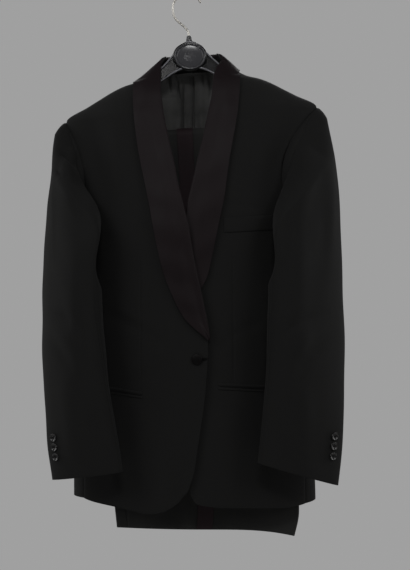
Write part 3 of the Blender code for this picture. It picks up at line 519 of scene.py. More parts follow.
class Finish:
    """A new material's nodes: a Principled shader, and short ways to add and link others."""

    def __init__(self, name, colour, roughness, **sockets):
        self.material = bpy.data.materials.new(name)
        self.material.use_nodes = True
        self.nodes, self.links = self.material.node_tree.nodes, self.material.node_tree.links
        self.shader = self.nodes["Principled BSDF"]
        self.shader.inputs["Base Color"].default_value = (*colour, 1)
        self.shader.inputs["Roughness"].default_value = roughness
        self.set(self.shader, sockets)

    def set(self, node, values):
        """Sets sockets, whose names start with a capital, and settings, whose names don't."""
        for name, value in values.items():
            if name[0].isupper():
                node.inputs[name.replace("_", " ")].default_value = value
            else:
                setattr(node, name, value)

    def add(self, kind, links=(), **values):
        """A node with its sockets linked or set."""
        node = self.nodes.new(kind)
        self.set(node, values)
        for socket, source in dict(links).items():
            self.links.new(source, node.inputs[socket])
        return node

    def coordinates(self, kind, scale, turn=0.0):
        """UV or Object coordinates, scaled, and turned in their plane."""
        source = self.add("ShaderNodeTexCoord").outputs[kind]
        mapping = self.add("ShaderNodeMapping", {"Vector": source}, Scale=scale, Rotation=(0, 0, turn))
        return mapping.outputs["Vector"]

    def noise(self, where, scale, detail=3.0, roughness=0.55):
        sockets = {"Scale": scale, "Detail": detail, "Roughness": roughness}
        return self.add("ShaderNodeTexNoise", {"Vector": where}, **sockets).outputs["Fac"]

    def twill(self, where, scale, distortion=0.0):
        """Diagonal ribs."""
        sockets = {"Scale": scale, "Distortion": distortion}
        node = self.add("ShaderNodeTexWave", {"Vector": where}, bands_direction="DIAGONAL", **sockets)
        return node.outputs["Fac"]

    def mixed(self, factor, low, high):
        """A number from low to high as factor goes from 0.3 to 0.7."""
        node = self.add(
            "ShaderNodeMapRange", {"Value": factor}, From_Min=0.3, From_Max=0.7, To_Min=low, To_Max=high
        )
        return node.outputs["Result"]

    def sum_of(self, a, share_a, b, share_b):
        """Two numbers, each times its share, added."""
        first = self.add("ShaderNodeMath", {0: a}, operation="MULTIPLY")
        first.inputs[1].default_value = share_a
        second = self.add("ShaderNodeMath", {0: b, 2: first.outputs[0]}, operation="MULTIPLY_ADD")
        second.inputs[1].default_value = share_b
        return second.outputs[0]

    def colour_between(self, factor, dark, light):
        """The base colour, from dark to light as factor goes from 0.3 to 0.7."""
        ramp = self.add("ShaderNodeValToRGB", {"Fac": factor})
        ramp.color_ramp.elements[0].position = 0.3
        ramp.color_ramp.elements[1].position = 0.7
        ramp.color_ramp.elements[0].color = (*dark, 1)
        ramp.color_ramp.elements[1].color = (*light, 1)
        self.links.new(ramp.outputs["Color"], self.shader.inputs["Base Color"])

    def rough_between(self, factor, low, high):
        self.links.new(self.mixed(factor, low, high), self.shader.inputs["Roughness"])

    def bump(self, height, strength, distance):
        node = self.add("ShaderNodeBump", {"Height": height}, Strength=strength, Distance=distance)
        self.links.new(node.outputs["Normal"], self.shader.inputs["Normal"])


def lighter(colour, times):
    """The colour times a number, darker where that is below 1."""
    return tuple(min(1.0, c * times) for c in colour)


def wool(name, colour):
    """Fine twill: diagonal ribs under a fuzzy nap, with a faint unevenness in tone."""
    made = Finish(name, colour, 0.88, Sheen_Weight=0.03, Sheen_Roughness=0.5, Specular_IOR_Level=0.20)
    where = made.coordinates("UV", (1, 1, 1))
    nap = made.noise(where, 2600.0, 2.0)
    made.bump(made.sum_of(made.twill(where, 560.0, 0.6), 0.6, nap, 0.8), 0.35, 0.0003)
    tone = made.sum_of(made.noise(where, 14.0, 4.0), 0.65, made.noise(where, 900.0, 2.0), 0.35)
    made.colour_between(tone, lighter(colour, 0.82), lighter(colour, 1.22))
    made.rough_between(tone, 0.80, 0.95)
    return made.material


def satin(name, colour, roughness=0.52):
    """Warp-faced satin: very fine ribs along the cloth, which stretch its highlights across."""
    made = Finish(name, colour, roughness, Sheen_Weight=0.02, Sheen_Roughness=0.3, Specular_IOR_Level=0.13)
    where = made.coordinates("UV", (1, 0.12, 1))
    threads = made.noise(where, 2400.0, 2.0)
    made.bump(threads, 0.22, 0.0002)
    wear = made.noise(made.coordinates("UV", (1, 1, 1)), 22.0, 4.0)
    made.colour_between(wear, lighter(colour, 0.88), lighter(colour, 1.14))
    made.rough_between(wear, roughness - 0.05, roughness + 0.07)
    return made.material


def lining(name, colour):
    """Light twill lining with a bright sheen on its folds."""
    made = Finish(name, colour, 0.5, Sheen_Weight=0.08, Sheen_Roughness=0.3, Specular_IOR_Level=0.3)
    where = made.coordinates("UV", (1, 1, 1))
    pucker = made.noise(where, 120.0, 3.0)
    made.bump(made.sum_of(made.twill(where, 700.0), 0.25, pucker, 1.0), 0.30, 0.0008)
    made.colour_between(made.noise(where, 30.0, 4.0), lighter(colour, 0.85), lighter(colour, 1.2))
    return made.material


def polished(name, colour, roughness=0.2):
    """Polished resin with faint hairlines."""
    made = Finish(name, colour, roughness, Specular_IOR_Level=0.5, Coat_Weight=0.1, Coat_Roughness=0.1)
    where = made.coordinates("Object", (1, 1, 1))
    scratches = made.noise(where, 900.0, 4.0, 0.7)
    made.rough_between(scratches, roughness - 0.06, roughness + 0.1)
    made.bump(scratches, 0.05, 0.0002)
    made.colour_between(made.noise(where, 160.0), lighter(colour, 0.85), lighter(colour, 1.25))
    return made.material


def moulded(name, colour):
    """Injection-moulded polystyrene: glossy, with a slow ripple from the mould and fine scuffs."""
    made = Finish(name, colour, 0.2, Specular_IOR_Level=0.62)
    where = made.coordinates("Object", (1, 1, 1))
    scuffs = made.noise(where, 420.0, 5.0, 0.7)
    made.rough_between(scuffs, 0.13, 0.18)
    made.bump(made.noise(where, 30.0, 2.0), 0.03, 0.0004)
    made.colour_between(scuffs, lighter(colour, 0.95), lighter(colour, 1.08))
    return made.material


def plated(name, colour):
    """Nickel-plated wire, dulled by handling."""
    made = Finish(name, colour, 0.45, Metallic=1.0)
    haze = made.noise(made.coordinates("Object", (1, 1, 1)), 25.0, 2.0, 0.5)
    made.rough_between(haze, 0.42, 0.48)
    made.colour_between(haze, lighter(colour, 0.95), lighter(colour, 1.05))
    return made.material


# Each finish's maker, its colour in the panel, how many times as light, and its roughness if it has its own
FINISHES = {
    "Jacket wool": (wool, "wool", 1.0),
    # The trousers' wool is three times as light as the jacket's same wool: painted light that lifts them
    # out of the jacket's shade
    "Trouser wool": (wool, "wool", 3.0),
    "Pocket dark": (wool, "wool", 0.12),
    # Near-black wool in the pockets' slits: painted shade for the deep openings
    "Collar satin": (satin, "satin", 1.0),
    # The stripe's satin is 2.6 times as light as the collar's same satin: painted light where the stripe
    # hangs in shade
    "Stripe satin": (satin, "satin", 2.6, 0.6),
    "Button satin": (satin, "satin", 0.12, 0.5),
    "Button thread": (satin, "wool", 0.3, 0.8),
    "Button resin": (polished, "buttons", 1.0),
    "Back lining": (lining, "lining", 1.0),
    "Hanger plastic": (moulded, "hanger", 1.0),
    # Five times as light as the hanger's same plastic: painted highlight on the boss
    "Boss plastic": (moulded, "hanger", 5.0),
    # A near-black copy of the hanger's plastic: painted shade in the gap round the boss
    "Groove plastic": (moulded, "hanger", 0.15),
    # Eighteen times as light as the hanger's same plastic: painted highlight along the rails' beads
    "Rail plastic": (moulded, "hanger", 18.0),
    "Hook wire": (plated, "hook", 1.0),
}


def finish(key):
    """The named finish, made when it is first asked for."""
    make, colour, times, *roughness = FINISHES[key]
    colour = lighter(getattr(bpy.context.scene.suit_colours, colour), times)
    return bpy.data.materials.get(key) or make(key, colour, *roughness)


# Meshes


def mesh_of(name, points, faces, uv=None):
    """A smooth mesh from arrays of points and four-cornered faces, with cloth coordinates if given."""
    mesh = bpy.data.meshes.new(name)
    points, faces = points.reshape(-1, 3), np.asarray(faces).reshape(-1, 4)
    mesh.vertices.add(len(points))
    mesh.vertices.foreach_set("co", points.astype(np.float32).ravel())
    mesh.loops.add(faces.size)
    mesh.loops.foreach_set("vertex_index", faces.astype(np.int32).ravel())
    mesh.polygons.add(len(faces))
    mesh.polygons.foreach_set("loop_start", np.arange(0, faces.size, 4, dtype=np.int32))
    mesh.update(calc_edges=True)
    mesh.validate()
    if uv is not None:
        layer = mesh.uv_layers.new(name="Cloth")
        layer.data.foreach_set("uv", uv.reshape(-1, 2)[faces.ravel()].astype(np.float32).ravel())
    mesh.shade_smooth()
    return mesh


def sealed(mesh):
    """Merges the points that meet at a pole or a tip, and turns a closed shell's faces outward."""
    shell = bmesh.new()
    shell.from_mesh(mesh)
    bmesh.ops.remove_doubles(shell, verts=shell.verts, dist=3e-5)
    bmesh.ops.recalc_face_normals(shell, faces=shell.faces)
    shell.to_mesh(mesh)
    shell.free()
    return mesh


def shown(name, mesh, material, nodes):
    """Puts a piece in the scene, in place of its plain nodes, riding on the suit."""
    piece = bpy.data.objects.new(name, mesh)
    bpy.context.scene.collection.objects.link(piece)
    piece.data.materials.append(finish(material))
    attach(piece, "root")
    if nodes:
        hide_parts(*nodes)
    return piece


def solid(name, points, faces, material, nodes, slot):
    """A closed shell of points and faces, put in the scene."""
    return shown(name, sealed(mesh_of(name, points, faces)), material, nodes)


def grid_faces(rows, columns, round_columns=False, round_rows=False):
    """Four-cornered faces of a grid, which may close on itself either way."""
    index = np.arange(rows * columns).reshape(rows, columns)
    if round_columns:
        index = np.concatenate([index, index[:, :1]], axis=1)
    if round_rows:
        index = np.concatenate([index, index[:1]], axis=0)
    return np.stack([index[:-1, :-1], index[:-1, 1:], index[1:, 1:], index[1:, :-1]], -1)


def cloth(
    name, node, points, outward, material, slot, thickness, inward=False, held="hung", rests_on=("hanger",)
):
    """A wall of cloth on a grid of points, with rounded edges.

    Its cloth coordinates are the distances along its rows and down its columns, so a weave keeps its size.
    """
    rows, columns = points.shape[:2]
    faces = grid_faces(rows, columns)
    normal = np.cross(points[1:, 1:] - points[:-1, :-1], points[1:, :-1] - points[:-1, 1:])
    if (normal * np.broadcast_to(outward, points.shape)[:-1, :-1]).sum() < 0:
        faces = faces[..., ::-1]
    across, down = run_of(points, 1), run_of(points, 0)
    coordinates = np.stack([across - across[:, [columns // 2]], -down], -1)
    piece = shown(name, mesh_of(name, points, faces, coordinates), material, [node])
    wall = piece.modifiers.new("Wall", "SOLIDIFY")
    wall.thickness, wall.offset, wall.use_even_offset = thickness, (-1 if inward else 1), False
    edge = piece.modifiers.new("Edge", "BEVEL")
    edge.width, edge.segments, edge.limit_method = thickness * 0.3, 2, "ANGLE"
    edge.angle_limit = math.radians(50)
    width, length = float(across[:, -1].max()), float(down[-1].max())
    area = float(0.5 * np.linalg.norm(normal, axis=-1).sum())
    area = min(area, width * length)
    return piece


def jacket_cloth(name, node, points, outward, thickness=None, **ways):
    """A piece of the jacket's wool, as thick as the panel says unless it is a thinner trimming."""
    thickness = thickness or bpy.context.scene.suit_sizes.wall
    return cloth(name, node, points, outward, "Jacket wool", "jacket_wool", thickness, **ways)


def trouser_cloth(node, points, outward):
    """A piece of the trousers' wool, which lies folded over the bar; the wool is a lighter copy of the
    jacket's, painted light against the shade it hangs in.
    """
    wall = bpy.context.scene.suit_sizes.trouser_wall
    name, ways = f"trouser_{node}", {"held": "folded", "rests_on": ("moulded_bar",)}
    return cloth(name, node, points, outward, "Trouser wool", "trouser_wool", wall, **ways)


def tube(name, path, radius, material, nodes, slot, around=20, side=(0, 1, 0), closed=False):
    """A round wire: circles square to the path, one of whose axes stays nearest to the given side."""
    path = np.asarray(path, float)
    radius = np.broadcast_to(radius, len(path))
    tangent = np.roll(path, -1, 0) - np.roll(path, 1, 0) if closed else np.gradient(path, axis=0)
    tangent /= np.linalg.norm(tangent, axis=1, keepdims=True)
    first = np.cross(np.broadcast_to(side, tangent.shape), tangent)
    first /= np.linalg.norm(first, axis=1, keepdims=True)
    second = np.cross(tangent, first)
    turn = np.linspace(0, 2 * math.pi, around, endpoint=False)[None, :, None]
    ring = first[:, None] * np.cos(turn) + second[:, None] * np.sin(turn)
    points = path[:, None] + ring * radius[:, None, None]
    faces = grid_faces(len(path), around, round_columns=True, round_rows=closed)
    if not material:
        return points.reshape(-1, 3), faces.reshape(-1, 4)
    return solid(name, points, faces, material, nodes, slot)


def with_round_ends(path, radius, steps=5):
    """The path and radii of a wire whose two ends are half balls."""
    turn = np.linspace(0, math.pi / 2, steps + 1)[1:]
    start, end = path[0] - path[1], path[-1] - path[-2]
    start, end = start / np.linalg.norm(start), end / np.linalg.norm(end)
    before = path[0] + start * (radius * np.sin(turn[::-1]))[:, None]
    after = path[-1] + end * (radius * np.sin(turn))[:, None]
    tip = radius * np.maximum(np.cos(turn), 1e-3)
    radii = np.concatenate([tip[::-1], np.full(len(path), radius), tip])
    return np.concatenate([before, path, after]), radii


def turned(profile, place, axis, steps):
    """A profile of radius and height turned about an axis: its points and faces."""
    profile = np.asarray(profile, float)
    turn = np.linspace(0, 2 * math.pi, steps, endpoint=False)
    radius, height = np.maximum(profile[:, :1], 1e-5), profile[:, 1:]
    local = np.stack([radius * np.cos(turn), radius * np.sin(turn), height + 0 * turn], -1)
    rotation = np.array(Vector(axis).to_track_quat("Z", "Y").to_matrix())
    return local @ rotation.T + np.asarray(place), grid_faces(len(profile), steps, round_columns=True)


def rounded(corners, radius, steps=4):
    """A profile whose inner corners give way to quadratic curves, which start radius before each."""
    corners = np.asarray(corners, float)
    points = [corners[:1]]
    t = np.linspace(0, 1, steps + 1)[:, None]
    for before, corner, after in zip(corners[:-2], corners[1:-1], corners[2:]):
        reach_before = min(radius, 0.45 * np.linalg.norm(before - corner))
        reach_after = min(radius, 0.45 * np.linalg.norm(after - corner))
        a = corner + (before - corner) / np.linalg.norm(before - corner) * reach_before
        b = corner + (after - corner) / np.linalg.norm(after - corner) * reach_after
        points.append(a * (1 - t) ** 2 + 2 * corner * t * (1 - t) + b * t**2)
    return np.concatenate([*points, corners[-1:]])


# The jacket's body


def outer_edge(side, arm_taus, seam, rows):
    """Angles and levels down a piece's outer edge: the shoulder seam, the armhole and the side seam."""
    shoulder = np.linspace(NECK_LEVEL, SHOULDER_POINT, 30)[:-1]
    arm_angle, arm = armhole(side, arm_taus)
    below = np.linspace(arm[-1], LOWEST_ROW, rows)[1:]
    angles = [0 * shoulder + math.pi / 2 * side, arm_angle, 0 * below + seam * side]
    return np.concatenate(angles), np.concatenate([shoulder, arm, below])


def hem_level(side, phi):
    x = read(BODY, "half", HEM_LEVEL) * np.sin(phi)
    return np.where(np.cos(phi) > 0, read(HEM[side], "z", x), BACK_HEM)


def to_hem(z, hem):
    """Rows below the waist spread so that the last one follows the hem."""
    share = np.clip((HEM_START - z) / (HEM_START - LOWEST_ROW), 0, None)
    return np.where(z < HEM_START, HEM_START + (hem - HEM_START) * share, z)


def edge_x(side, z):
    """The front's own edge: the roll of its lapel down to the break, then the closing edge."""
    return np.where(z > ROLL[side]["z"][-1], read(ROLL[side], "x", z), read(FRONT_EDGE[side], "x", z))


def front_points(side):
    """A front's grid: across from its edge over a dart to its outer seams, and down to the hem."""
    outer, z = outer_edge(side, np.linspace(0, seam_tau(side)[0], 46), FRONT_SEAM, 92)
    outer = outer - seam_angle(outer, z) * side
    inner = angle_of(edge_x(side, z), z)
    top, foot = DART[side]
    dart = angle_of(top + (foot - top) * np.clip((DART_TOP - z) / (DART_TOP - DART_FOOT), 0, 1), z)
    near, far = (inner, outer) if side > 0 else (outer, inner)
    dart = np.clip(dart, near + 0.3 * (far - near), near + 0.7 * (far - near))
    first = inner[:, None] + (dart - inner)[:, None] * spaced(44)
    second = dart[:, None] + (outer - dart)[:, None] * spaced(50)[1:]
    phi = np.concatenate([first, second], axis=1)
    level = to_hem(np.broadcast_to(z[:, None], phi.shape), hem_level(side, phi))
    in_dart = fade((DART_TOP - level) / 0.03) * fade((level - DART_FOOT) / 0.03)
    dip = seam_dip(np.abs(phi - dart[:, None]) * 0.2) * in_dart
    points = jacket_point(phi, level, over_lift(side, phi, level) + dip)
    normal = body_normal(phi, level)
    return points + normal * seams_at(points, "last column")[..., None], normal


def back_points(side):
    """A back's grid from the side seam to the centre back seam."""
    tau = 2 * math.pi - seam_tau(side)[1]
    outer, z = outer_edge(side, -np.linspace(0, tau, 46), BACK_SEAM, 84)
    outer = outer + seam_angle(outer, z) * side
    centre = (math.pi - seam_angle(math.pi, z)) * side
    phi = outer[:, None] + (centre - outer)[:, None] * spaced(64)
    level = to_hem(np.broadcast_to(z[:, None], phi.shape), hem_level(side, phi))
    points, normal = jacket_point(phi, level), body_normal(phi, level)
    return points + normal * seams_at(points, "first column", "last column")[..., None], normal


def side_points(side):
    """A side panel's grid: its top is scooped with the armhole, and the scoop dies out below."""
    tau = seam_tau(side)[0] + (seam_tau(side)[1] - seam_tau(side)[0]) * spaced(36)
    phi, top = armhole(side, tau)
    phi = phi * side
    phi[0] += seam_angle(phi[0], top[0])
    phi[-1] -= seam_angle(phi[-1], top[-1])
    down = np.linspace(0, 1, 120)[:, None]
    share = (tau - tau[0]) / (tau[-1] - tau[0])
    first, last = (end + (LOWEST_ROW - end) * down for end in (top[0], top[-1]))
    rows = first * (1 - share) + last * share
    level = rows + (top - rows[0]) * (1 - fade(down * 2))
    phi = np.broadcast_to(phi * side, level.shape)
    level = to_hem(level, hem_level(side, FRONT_SEAM * side) * (1 - share) + BACK_HEM * share)
    points, normal = jacket_point(phi, level), body_normal(phi, level)
    dip = seams_at(points, "first column", "last column", "first row")
    return points + normal * dip[..., None], normal


# Collar


def collar_lines(side, count):
    """The shawl's roll and outer edge, from its tip up the front and round the neck.

    Each is smoothed through its rows. They are read as distances from the centre line up the front, and as
    angles round the neck.
    """
    front_rows, neck = 13, NECK_ROWS[side]
    at = np.linspace(0, front_rows + len(neck["roll_z"]) - 1, count)
    lines = []
    for edge, columns, first, last in (("roll", ROLL, -0.265, -0.150), ("outer", LAPEL, -0.268, -0.172)):
        neck_z, neck_phi = neck[f"{edge}_z"], np.radians(neck[f"{edge}_angle"])
        low = np.linspace(LAPEL[side]["z"][-1], COLLAR_BEND, 9)
        front_z = np.concatenate([low, np.linspace(first, last, front_rows - len(low))])
        level = through(np.concatenate([front_z, neck_z]), at)
        neck_x = read(BODY, "half", neck_z[:1]) * np.sin(neck_phi[:1])
        reach = np.concatenate([read(columns[side], "x", front_z) * side, neck_x])
        up_front, round_neck = angle_of(through(reach, at), level), through(neck_phi, at, front_rows)
        lines += [np.where(at < front_rows, up_front, round_neck)[:, None], level[:, None]]
    return lines


def shawl_points(side):
    """Half of the shawl: it wraps round the front's edge on a half circle, then lies out over the front.

    Across it, the lift is a rolled swell near the fold that flattens to a pressed edge, most by the neck.
    The wrap's points bulge past the front's edge by a sine, so that they follow the half circle's reach.
    """
    roll_phi, roll_z, outer_phi, outer_z = collar_lines(side, 230)
    wrap = np.linspace(-1, 0, 6)[:-1]
    flat = spaced(30, 0.6)
    across = np.concatenate([0 * wrap, flat])
    turn = np.concatenate([wrap, 0 * flat]) * math.pi / 2
    phi = (roll_phi + (outer_phi - roll_phi) * across) * side
    z = roll_z + (outer_z - roll_z) * across
    neck = fade((roll_z + 0.26) / 0.08)
    swell = neck * (0.35 + 0.65 * np.sin(math.pi * across)) * 0.0045
    soft = 0.0014 * np.exp(-((across / 0.16) ** 2)) * (1 - neck)
    wave = 0.0009 * unevenness(0.06 * across + 0 * z, z, 0.09, 21 + side)
    stand = 0.0038 * fade(across * 2.2) * (1 - neck)
    lift = over_lift(side, phi, z) + 0.0022 + stand + swell + soft + wave * fade(across * 4)
    radius = 0.5 * (lift - over_lift(side, phi, z)) + 0.0012
    points = jacket_point(phi, z, lift - radius * (1 - np.cos(turn)))
    fold = len(wrap)
    inward = points[:, [fold]] - points[:, [fold + 3]]
    inward /= np.linalg.norm(inward, axis=-1, keepdims=True)
    bulge = 0.9 * radius * np.sin(-2 * turn)
    return points + inward * bulge[..., None], body_normal(phi, z)


# Sleeves


def sleeve_section(side, z, tau):
    """A slanted oval between the sleeve's outlines; tau is 0 at the outer edge, a right angle in front."""
    inner = read(SLEEVE[side], "inner", z) + SLEEVE_CLOTH
    outer = read(SLEEVE[side], "outer", z) - SLEEVE_CLOTH
    along = (outer - inner) / 2 * np.cos(tau)
    y = read(SLEEVE_DEPTH, "middle", z) + read(SLEEVE_DEPTH, "slant", z) * along
    y = y - read(SLEEVE_DEPTH, "half", z) * np.sin(tau)
    return np.stack([((inner + outer) / 2 + along) * side, y, z + 0 * along], -1)


def clear_of_body(points, clear):
    """Points inside the body's ring, squared a little and widened, are moved out from its axis to it."""
    x, y, z = points[..., 0], points[..., 1], points[..., 2]
    half, depth = body_size(y < 0, z)
    ring = np.abs(x / (half + clear)) ** RING_POWER + np.abs(y / (depth + clear)) ** RING_POWER
    reach = ring ** (1 / RING_POWER)
    grow = np.maximum(1, 1 / np.maximum(reach, 1e-6))
    return np.stack([x * grow, y * grow, z], -1)


def armhole_ring(side, tau, inset, out):
    """The armhole's line on the body, drawn in by inset and moved out."""
    phi, z = armhole(side, tau, inset)
    half, depth = body_size(np.cos(phi) > 0, z)
    return np.stack([(half + out) * np.sin(phi), -(depth + out) * np.cos(phi), z], -1)


def sleeve_rows(side, tau_top, tau_cuff, rows):
    """Rows from the armhole to the cuff. The armhole ring's offset from the sections fades out on the way.

    The head starts sunk in the seam, rises on a quarter circle to its stand, and runs on down. Its front
    hangs inward by a bell over the level.
    """
    share = np.linspace(0, 1, rows)[:, None] ** 1.35
    tau = tau_top + (tau_cuff - tau_top) * fade(share * 1.15)
    below = fade((1 - np.cos(tau_top)) / 0.9)
    stand = 0.0015 + SLEEVE_CLEAR * below
    ring = armhole_ring(side, tau_top, SLEEVE_INSET, stand)
    loop_z = ring[:, 2]
    outer_cuff, inner_cuff = CUFF[side]
    cuff = (outer_cuff + inner_cuff) / 2 + (outer_cuff - inner_cuff) / 2 * np.cos(tau_cuff)
    z = loop_z + (cuff - loop_z) * share
    ahead = fade(1.6 * np.sin(tau_top) - 0.5) * fade(1.4 + 1.6 * np.cos(tau_top))
    reach = 0.100 + 0.020 * np.cos(tau_top) - 0.045 * ahead
    offset = ring - sleeve_section(side, loop_z, tau_top)
    crown = fade((np.cos(tau_top) - 0.70) / 0.30)
    left_over = np.clip(1 - (loop_z - z) / 0.020, 0, 1)
    rounded_off = 0.6 * (1 - np.sqrt(1 - left_over**2)) + 0.4 * left_over
    kept = (1 - fade((loop_z - z) / reach)) * (1 - crown) + rounded_off * crown
    points = sleeve_section(side, z, tau) + offset * kept[..., None]
    below_seam = fade((loop_z - z) / 0.018) * np.clip(np.sin(tau_top - 0.6), 0, 1)
    hang = SLEEVE_HANG[side][0] * below_seam * np.exp(-(((z - SLEEVE_HANG[side][1]) / 0.070) ** 2))
    points[..., 0] -= hang * side
    points = clear_of_body(points, stand + (SLEEVE_CLEAR + 0.0015 - stand) * fade(share * 4))
    turns = (-0.35, 0.0, 0.35, 0.8, 1.2)
    rise = [armhole_ring(side, tau_top, SLEEVE_INSET, stand * math.sin(turn))[None] for turn in turns]
    points = np.concatenate([*rise, ring[None], points[1:]])
    return placed(*np.moveaxis(points, -1, 0))


def sleeve_points(side, first, last, cuff_first, cuff_last, columns, rows=170):
    """One sleeve panel's grid with its folds: those seen from the front fade out round the sides."""
    share = spaced(columns)
    tau_top, tau_cuff = first + (last - first) * share, cuff_first + (cuff_last - cuff_first) * share
    points = sleeve_rows(side, tau_top, tau_cuff, rows)
    ring = np.linspace(0, 2 * math.pi, 13)
    axis = sleeve_rows(side, ring, ring, rows)[:, :-1].mean(axis=1, keepdims=True)
    normal = normals_of(points, points - axis)
    x, z = points[..., 0], points[..., 2]
    folds = creased(x, z, SLEEVE_FOLDS[side])
    behind = creased(x * 1.01 + 0.012, z + 0.045, SLEEVE_FOLDS[side])
    facing = 1.5 * normal[..., 1]
    relief = np.clip(0.1 - facing, 0, 1) * folds + np.clip(facing, 0, 1) * behind
    relief += 0.0012 * unevenness(x + points[..., 1], z, 0.10, 40 + side)
    relief = relief * fade(run_of(points, 0) / 0.05) * bpy.context.scene.suit_sizes.fold_strength
    relief += seams_at(points, "first column", "last column", "first row")
    return points + normal * relief[..., None], points - axis


# Trousers


def leg_path(radius, rows=(90, 21, 60)):
    """One layer's depths and levels: up the front run, half a turn over the bar, and down the back run.

    The third array goes from 0 on the front run to 1 on the back run.
    """
    front_z = np.linspace(LEG_LOWEST, BAR_LEVEL, rows[0])
    turn = np.linspace(0, math.pi, rows[1])[1:-1]
    back_z = np.linspace(BAR_LEVEL, WAIST_SEAM, rows[2])
    z = np.concatenate([front_z, BAR_LEVEL + radius * np.sin(turn), back_z])
    y = np.concatenate([np.full(rows[0], -radius), -radius * np.cos(turn), np.full(rows[2], radius)])
    behind = np.concatenate([np.zeros(rows[0]), turn / math.pi, np.ones(rows[2])])
    return y, z, behind


def leg_edges(z, behind):
    """The leg's left and right edges at these levels."""
    low = np.minimum(z, BAR_LEVEL)
    edges = []
    for name in ("left", "right"):
        front, back = read(LEG_FRONT_RUN, name, low), read(LEG_BACK_RUN, name, low)
        edges.append(front + (back - front) * behind)
    return edges


def hem_of_leg(x, left, right, z):
    """The levels, with the lowest rows slid down to the slanted hem, which bows by a sine."""
    share = np.clip((x - left) / (right - left), 0, 1)
    hem = LEG_HEM_LEFT + (LEG_HEM_RIGHT - LEG_HEM_LEFT) * share + 0.006 * np.sin(math.pi * share**2.4)
    return z + (hem - LEG_LOWEST) * fade((LEG_HEM_START - z) / (LEG_HEM_START - LEG_LOWEST))


def leg_points(label, crease_side):
    """Half of a leg: its outer face, a pressed crease and its inner face, carried along the leg's path."""
    base = LEG_LAYERS[label]
    shift = INNER_LEG_SHIFT if label == "R" else 0.0
    face_out = base + (LEG_HOLLOW if label == "L" else 0.0)
    face_in = base + (0.0 if label == "L" else LEG_HOLLOW)
    outer, inner = spaced(30, 0.5), spaced(14, 0.5)[::-1]
    shares = np.concatenate([outer, [1.0], inner])
    depths = np.concatenate([0 * outer, [0.5], 0 * inner + 1])
    nose = np.where(depths == 0.5, LEG_HOLLOW / 2 + 0.0002, 0.0)
    columns = []
    for share, depth, point in zip(shares, depths, nose):
        y, z, behind = leg_path(face_out + (face_in - face_out) * depth)
        left, right = leg_edges(z, behind)
        left = left + shift * (1 - behind) * fade((-z - 0.30) / 0.5)
        middle = (left + right) / 2
        crease = left if crease_side < 0 else right
        if depth == 1:
            narrow = fade((CROTCH + 0.01 - z) / 0.05) * (behind == 1)
            share = share + (0.94 + 0.04 * share - share) * narrow * (share < 0.9)
        gap = 0.0002 * crease_side
        x = middle + gap + (crease - middle - gap) * share + crease_side * point
        z = np.where(behind == 0, hem_of_leg(x, left, right, z), z)
        wave = creased(x, z, TROUSER_FOLDS) * (depth < 0.5) * (label == "L") * (behind == 0)
        above_hem = z - hem_of_leg(x, left, right, np.full_like(z, LEG_LOWEST))
        stitched = -0.0005 * np.exp(-(((above_hem - 0.0095) / 0.0011) ** 2)) * (depth == 0)
        outward = np.where(behind < 0.5, -1.0, 1.0) * (1 if label == "L" else -1)
        columns.append(leaning(x, y + outward * np.clip(wave + stitched, -0.0006, 0.0010), z))
    return np.stack(columns, 1)


# What the suit's panel offers


def number_property(name, description, default, low, high, unit="NONE"):
    return FloatProperty(name=name, description=description, default=default, min=low, max=high, unit=unit)


class SuitSizes(PropertyGroup):
    wall: number_property(
        "Jacket Cloth", "Thickness of the jacket's cloth and interlining", 0.0018, 0.001, 0.003, "LENGTH"
    )
    trouser_wall: number_property(
        "Trouser Cloth", "Thickness of the trousers' cloth", 0.0012, 0.0008, 0.002, "LENGTH"
    )
    seam_depth: number_property(
        "Seam Depth", "How far the cloth is drawn in at a seam", 0.0008, 0.0, 0.002, "LENGTH"
    )
    seam_width: number_property(
        "Seam Width", "How wide the cloth is drawn in beside a seam", 0.0022, 0.0005, 0.006, "LENGTH"
    )
    fold_strength: number_property("Folds", "How strongly the folds show, as a share", 1.25, 0.0, 2.0)
    even_light: number_property(
        "Even Light", "Strength of the light all round, as a share of the backdrop's", 0.27, 0.0, 2.0
    )
    key_power: number_property(
        "Key Light", "Power of the large soft light before the suit", 18.3, 0.0, 400.0, "POWER"
    )
    front_power: number_property(
        "Front Light", "Power of the light above the camera", 14.2, 0.0, 400.0, "POWER"
    )
    rim_power: number_property(
        "Side Lights", "Power of each strip light beside the suit", 8.0, 0.0, 400.0, "POWER"
    )


def colour_property(name, description, default):
    return FloatVectorProperty(
        name=name, description=description, subtype="COLOR", size=3, default=default, min=0.0, max=1.0
    )


class SuitColours(PropertyGroup):
    wool: colour_property("Wool", "Colour of the suit's wool cloth", (0.0078, 0.0078, 0.0076))
    satin: colour_property("Satin", "Colour of the collar's satin", (0.0100, 0.0066, 0.0076))
    lining: colour_property("Lining", "Colour of the back's lining", (0.090, 0.090, 0.088))
    buttons: colour_property("Buttons", "Colour of the cuffs' buttons", (0.010, 0.0095, 0.0095))
    hanger: colour_property("Hanger", "Colour of the hanger's moulding", (0.010, 0.010, 0.011))
    hook: colour_property("Hook", "Colour of the hook's plating", (0.62, 0.60, 0.56))
    backdrop: colour_property("Backdrop", "Colour of the light all round", (0.352, 0.352, 0.352))
    floor: colour_property("Floor", "Colour of the floor", (0.62, 0.62, 0.61))


# Operators


class SUIT_OT_fronts(Operator):
    """Cuts the two fronts, with their darts"""

    bl_idname = "suit.fronts"
    bl_label = "Fronts"

    def execute(self, context):
        for side, label in SIDES:
            jacket_cloth(f"jacket_front_{label}", f"front_{label}", *front_points(side))
        return {"FINISHED"}


class SUIT_OT_backs(Operator):
    """Cuts the two backs and the two side panels"""

    bl_idname = "suit.backs"
    bl_label = "Backs and Sides"

    def execute(self, context):
        for side, label in SIDES:
            jacket_cloth(f"jacket_back_{label}", f"back_{label}", *back_points(side))
            jacket_cloth(f"jacket_side_{label}", f"side_{label}", *side_points(side))
        return {"FINISHED"}


